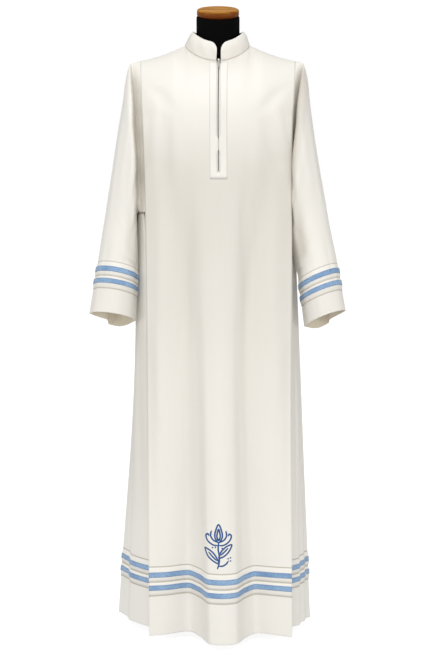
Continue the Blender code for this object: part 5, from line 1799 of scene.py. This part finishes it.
def form_shoulder(c, climb, sign):
    """Shoulder part: narrower than the robe's profile and level with it at the seam."""
    x_top = NECK_X / 2 + FORM_HALF_TOP * c
    depth = FORM_FRONT if sign < 0 else FORM_BACK
    base = depth * max(0.0, 1.0 - abs(c) ** FORM_ROUND) ** (1.0 / FORM_ROUND)
    beyond = abs(x_top - NECK_X) - NECK_HALF
    ridge = top_point(x_top, True).z
    if beyond < 0.0:
        ridge = NECK_SIDE_Z - NECK_DIP * ease(-beyond / TURN_RUN)
    round_off = ROUND_OFF * max(0.0, (abs(c) - ROUND_FROM) / (1.0 - ROUND_FROM)) ** ROUND_POWER
    ridge -= CAD_CLOTH + FORM_GAP + FORM_PLAY + round_off
    angle = climb * math.pi / 2
    rest = math.cos(angle) ** FORM_RIDGE_POWER
    return Vector((lerp(NECK_X / 2 + FORM_HALF_LOW * c, x_top, math.sin(angle)), sign * base * rest,
                   lerp(FORM_LOW_Z, ridge, math.sin(angle))))


TORSO_COLUMNS, TORSO_CLIMBS = 40, 26
TORSO_STEP = 0.015


def build_torso():
    """The form's torso: closed rings, finer than the solid's, and a recessed board below."""
    columns = [math.sin(math.pi / 2 * (2.0 * i / TORSO_COLUMNS - 1.0))
               for i in range(TORSO_COLUMNS + 1)]
    half_rings = ((-1.0, columns), (1.0, columns[-2:0:-1]))
    table = FORM_RINGS + [(FORM_LOW_Z, FORM_HALF_LOW, FORM_FRONT, FORM_BACK)]
    wide = curve_of(table, 0, 1)
    deep = {-1.0: curve_of(table, 0, 2), 1.0: curve_of(table, 0, 3)}

    def level_ring(z, inset=0.0, up=0.0):
        ring = []
        for sign, order in half_rings:
            for c in order:
                y = (deep[sign](z) - inset) * (1.0 - abs(c) ** FORM_ROUND) ** (1.0 / FORM_ROUND)
                ring.append(Vector((NECK_X / 2 + (wide(z) - inset) * c, sign * y, z + up)))
        return ring

    # The board's rim: inset and height above the lowest level.
    rings = [level_ring(FORM_RINGS[0][0], inset, up)
             for inset, up in ((0.008, 0.003), (0.007, 0.0), (0.003, 0.0), (0.0, 0.003))]
    rings += [level_ring(z) for z in between(0.815, FORM_LOW_Z, TORSO_STEP)]
    for k in range(TORSO_CLIMBS + 1):
        rings.append([form_shoulder(c, k / TORSO_CLIMBS, sign)
                      for sign, order in half_rings for c in order])
    bm = bmesh.new()
    skin(bm, rings, top=False)
    return solid_piece("form_torso", bm, JERSEY)


def lathe(bm, profile, axes, steps=96, slant=0.0):
    """Rings from (radius, height, share of the slant) rows about the axes' Z."""
    skin(bm, [[axes @ Vector((x, y, height + (y * slant * tipped[0] if tipped else 0.0)))
               for x, y in oval(steps, 1.0, radius, radius, phase=0.0)]
              for radius, height, *tipped in profile])


def build_neck():
    """The form's neck: it flares into the shoulders and is cut on a slant under the cap."""
    bm = bmesh.new()
    axes = Matrix.Translation((NECK_X / 2, 0.0, 0.0))
    profile = [(0.07, 1.465), (0.064, 1.478), (0.0585, 1.492), (0.0556, 1.508),
               (NECK_RADIUS, 1.526), (NECK_RADIUS, 1.545, 0.2), (NECK_RADIUS, 1.57, 0.6),
               (NECK_RADIUS, NECK_TOP_Z - 0.0035, 1.0),
               (NECK_RADIUS - 0.0008, NECK_TOP_Z - 0.0012, 1.0),
               (NECK_RADIUS - 0.003, NECK_TOP_Z, 1.0)]
    lathe(bm, profile, axes, slant=math.tan(CAP_TILT))
    return solid_piece("form_neck", bm, JERSEY)


def build_cap():
    """Turned wooden cap: a small step at its foot, a round rim and a slightly dished top."""
    bm = bmesh.new()
    turn = Matrix.Rotation(CAP_TILT, 4, "X")
    axes = Matrix.Translation(Vector((NECK_X / 2, 0.0, NECK_TOP_Z)) + CAP_AXIS * 0.0004) @ turn
    profile = [(0.049, 0.0), (0.05, 0.0004), (0.0505, 0.0016), (0.0522, 0.0022),
               (0.053, 0.0034), (0.053, 0.0125), (0.0526, 0.0146), (0.0514, 0.0164),
               (0.0494, 0.0176), (0.047, 0.018), (0.0446, 0.0179), (0.043, 0.0174),
               (0.03, 0.0173), (0.012, 0.0172)]
    lathe(bm, profile, axes)
    return solid_piece("turned_cap", bm, WOOD, sharp=60.0)


BASE_HALF_X, BASE_HALF_Y, BASE_Y, BASE_THICKNESS = 0.165, 0.068, 0.018, 0.012
BASE_ROUND, BASE_CORNER = 128, 0.16
BASE_LEVELS = ((0.0, 0.0012), (0.0012, 0.0), (BASE_THICKNESS - 0.004, 0.0),
               (BASE_THICKNESS - 0.0012, 0.0014), (BASE_THICKNESS, 0.0046))  # z, inset
SOCKET_STEPS = 64


def build_base():
    """Base plate with rounded corners and bevelled edges, and a socket for the pole."""
    bm = bmesh.new()
    skin(bm, [[(x, y, z) for x, y in oval(BASE_ROUND, BASE_CORNER, BASE_HALF_X - inset,
                                          BASE_HALF_Y - inset, 0.0, BASE_Y)]
              for z, inset in BASE_LEVELS])
    low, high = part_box("form_pole")
    axes = Matrix.Translation(((low.x + high.x) / 2, (low.y + high.y) / 2, BASE_THICKNESS))
    lathe(bm, [(0.03, -0.001), (0.03, 0.003), (0.0285, 0.0045), (0.019, 0.0055),
               (0.0182, 0.0075), (0.018, 0.03), (0.0172, 0.0318), (0.015, 0.0324)],
          axes, SOCKET_STEPS)
    return solid_piece("base_plate", bm, POWDER_COAT, sharp=50.0)


dress(build_torso(), "form_body")
dress(build_neck())
dress(build_cap(), "form_cap")
dress(build_base(), "form_base")
for place in frame["nodes"]["form_pole"].material_slots:
    place.material = POWDER_COAT


# ---------------------------------------------------------------- what each ribbon was cut to
# The length of each ribbon's flat cut, in metres; each is as wide as its band, and seams and hems
# are turned in. The loop below only looks up each ribbon and its band's edges.
RIBBON_CUTS = {
    "hem_ribbon_lower_front": 0.466, "hem_ribbon_upper_front": 0.462,
    "hem_ribbon_lower_back": 0.429, "hem_ribbon_upper_back": 0.428,
    "hem_ribbon_lower_left": 0.372, "hem_ribbon_upper_left": 0.365,
    "hem_ribbon_lower_right": 0.342, "hem_ribbon_upper_right": 0.336,
    "sleeve_ribbon_lower_left": 0.343, "sleeve_ribbon_upper_left": 0.365,
    "sleeve_ribbon_lower_right": 0.34, "sleeve_ribbon_upper_right": 0.365,
}
for name, long in RIBBON_CUTS.items():
    made, sewn = ribbons[name]
    band, _, level, side = name.split("_")
    low, high = (RIBBONS if band == "hem" else CUFF_RIBBONS)[level]


# ---------------------------------------------------------------- camera, light and floor
CAMERA_PLACE = (0.0023, -3.4, 1.25)
CAMERA_DOWN = math.radians(7.6)
CAMERA_LENS = 72.0

camera_data = bpy.data.cameras.new("camera")
camera_data.lens = CAMERA_LENS
camera_data.sensor_width = 36.0
camera = link("camera", camera_data)
camera.location = CAMERA_PLACE
camera.rotation_euler = (math.pi / 2 - CAMERA_DOWN, 0.0, 0.0)
bpy.context.scene.camera = camera
bpy.context.scene.view_settings.view_transform = "Standard"
bpy.context.scene.view_settings.look = "None"

WHITE = (1.0, 1.0, 1.0, 1.0)
WORLD_LIGHT, FLOOR_GLOW = 0.52, 0.86
world = bpy.data.worlds.new("studio")
world.use_nodes = True
world.node_tree.nodes["Background"].inputs["Color"].default_value = WHITE
world.node_tree.nodes["Background"].inputs["Strength"].default_value = WORLD_LIGHT
bpy.context.scene.world = world


def softbox(name, place, target, size, power, colour=WHITE[:3]):
    """A large square light aimed at a point."""
    light = bpy.data.lights.new(name, "AREA")
    light.shape = "SQUARE"
    light.size = size
    light.energy = power
    light.color = colour
    made = link(name, light)
    made.location = place
    made.rotation_mode = "QUATERNION"
    made.rotation_quaternion = (Vector(target) - Vector(place)).to_track_quat("-Z", "Y")


WARM_LIGHT = (1.0, 0.97, 0.91)
softbox("key", (-0.9, -5.9, 8.5), (0.0, 0.0, 1.0), 3.6, 518.0)
softbox("fill", (0.9, -5.0, 0.4), (0.0, 0.0, 0.3), 2.4, 26.0, WARM_LIGHT)
softbox("low_left", (-3.6, -3.0, 0.5), (0.0, 0.0, 0.2), 1.8, 32.0, WARM_LIGHT)
softbox("low_right", (3.6, -3.0, 0.5), (0.0, 0.0, 0.2), 1.8, 38.0, WARM_LIGHT)

FLOOR_HALF = 30.0
FLOOR_GREY = (0.45, 0.45, 0.45, 1.0)
floor_look = Nodes("pale_floor")
floor_look.set(Base_Color=FLOOR_GREY, Roughness=0.9, Specular_IOR_Level=0.0,
               Emission_Color=WHITE, Emission_Strength=FLOOR_GLOW)
floor = mesh_object("floor", [(x * FLOOR_HALF, y * FLOOR_HALF, 0.0)
                              for x, y in ((-1, -1), (1, -1), (1, 1), (-1, 1))],
                    [(0, 1, 2, 3)], floor_look.material)
floor.visible_diffuse = False

# A white room round the studio, seen by the camera only.
ROOM_RADIUS = 28.0
bpy.ops.mesh.primitive_uv_sphere_add(segments=48, ring_count=24, radius=ROOM_RADIUS)
room = bpy.context.object
room.name = "white_room"
room_look = Nodes("white_room")
room_look.set(Base_Color=(0.0, 0.0, 0.0, 1.0), Specular_IOR_Level=0.0,
              Emission_Color=WHITE, Emission_Strength=1.0)
room.data.materials.append(room_look.material)
for ray in ("visible_diffuse", "visible_glossy", "visible_transmission", "visible_shadow"):
    setattr(room, ray, False)

low, high = cad_box
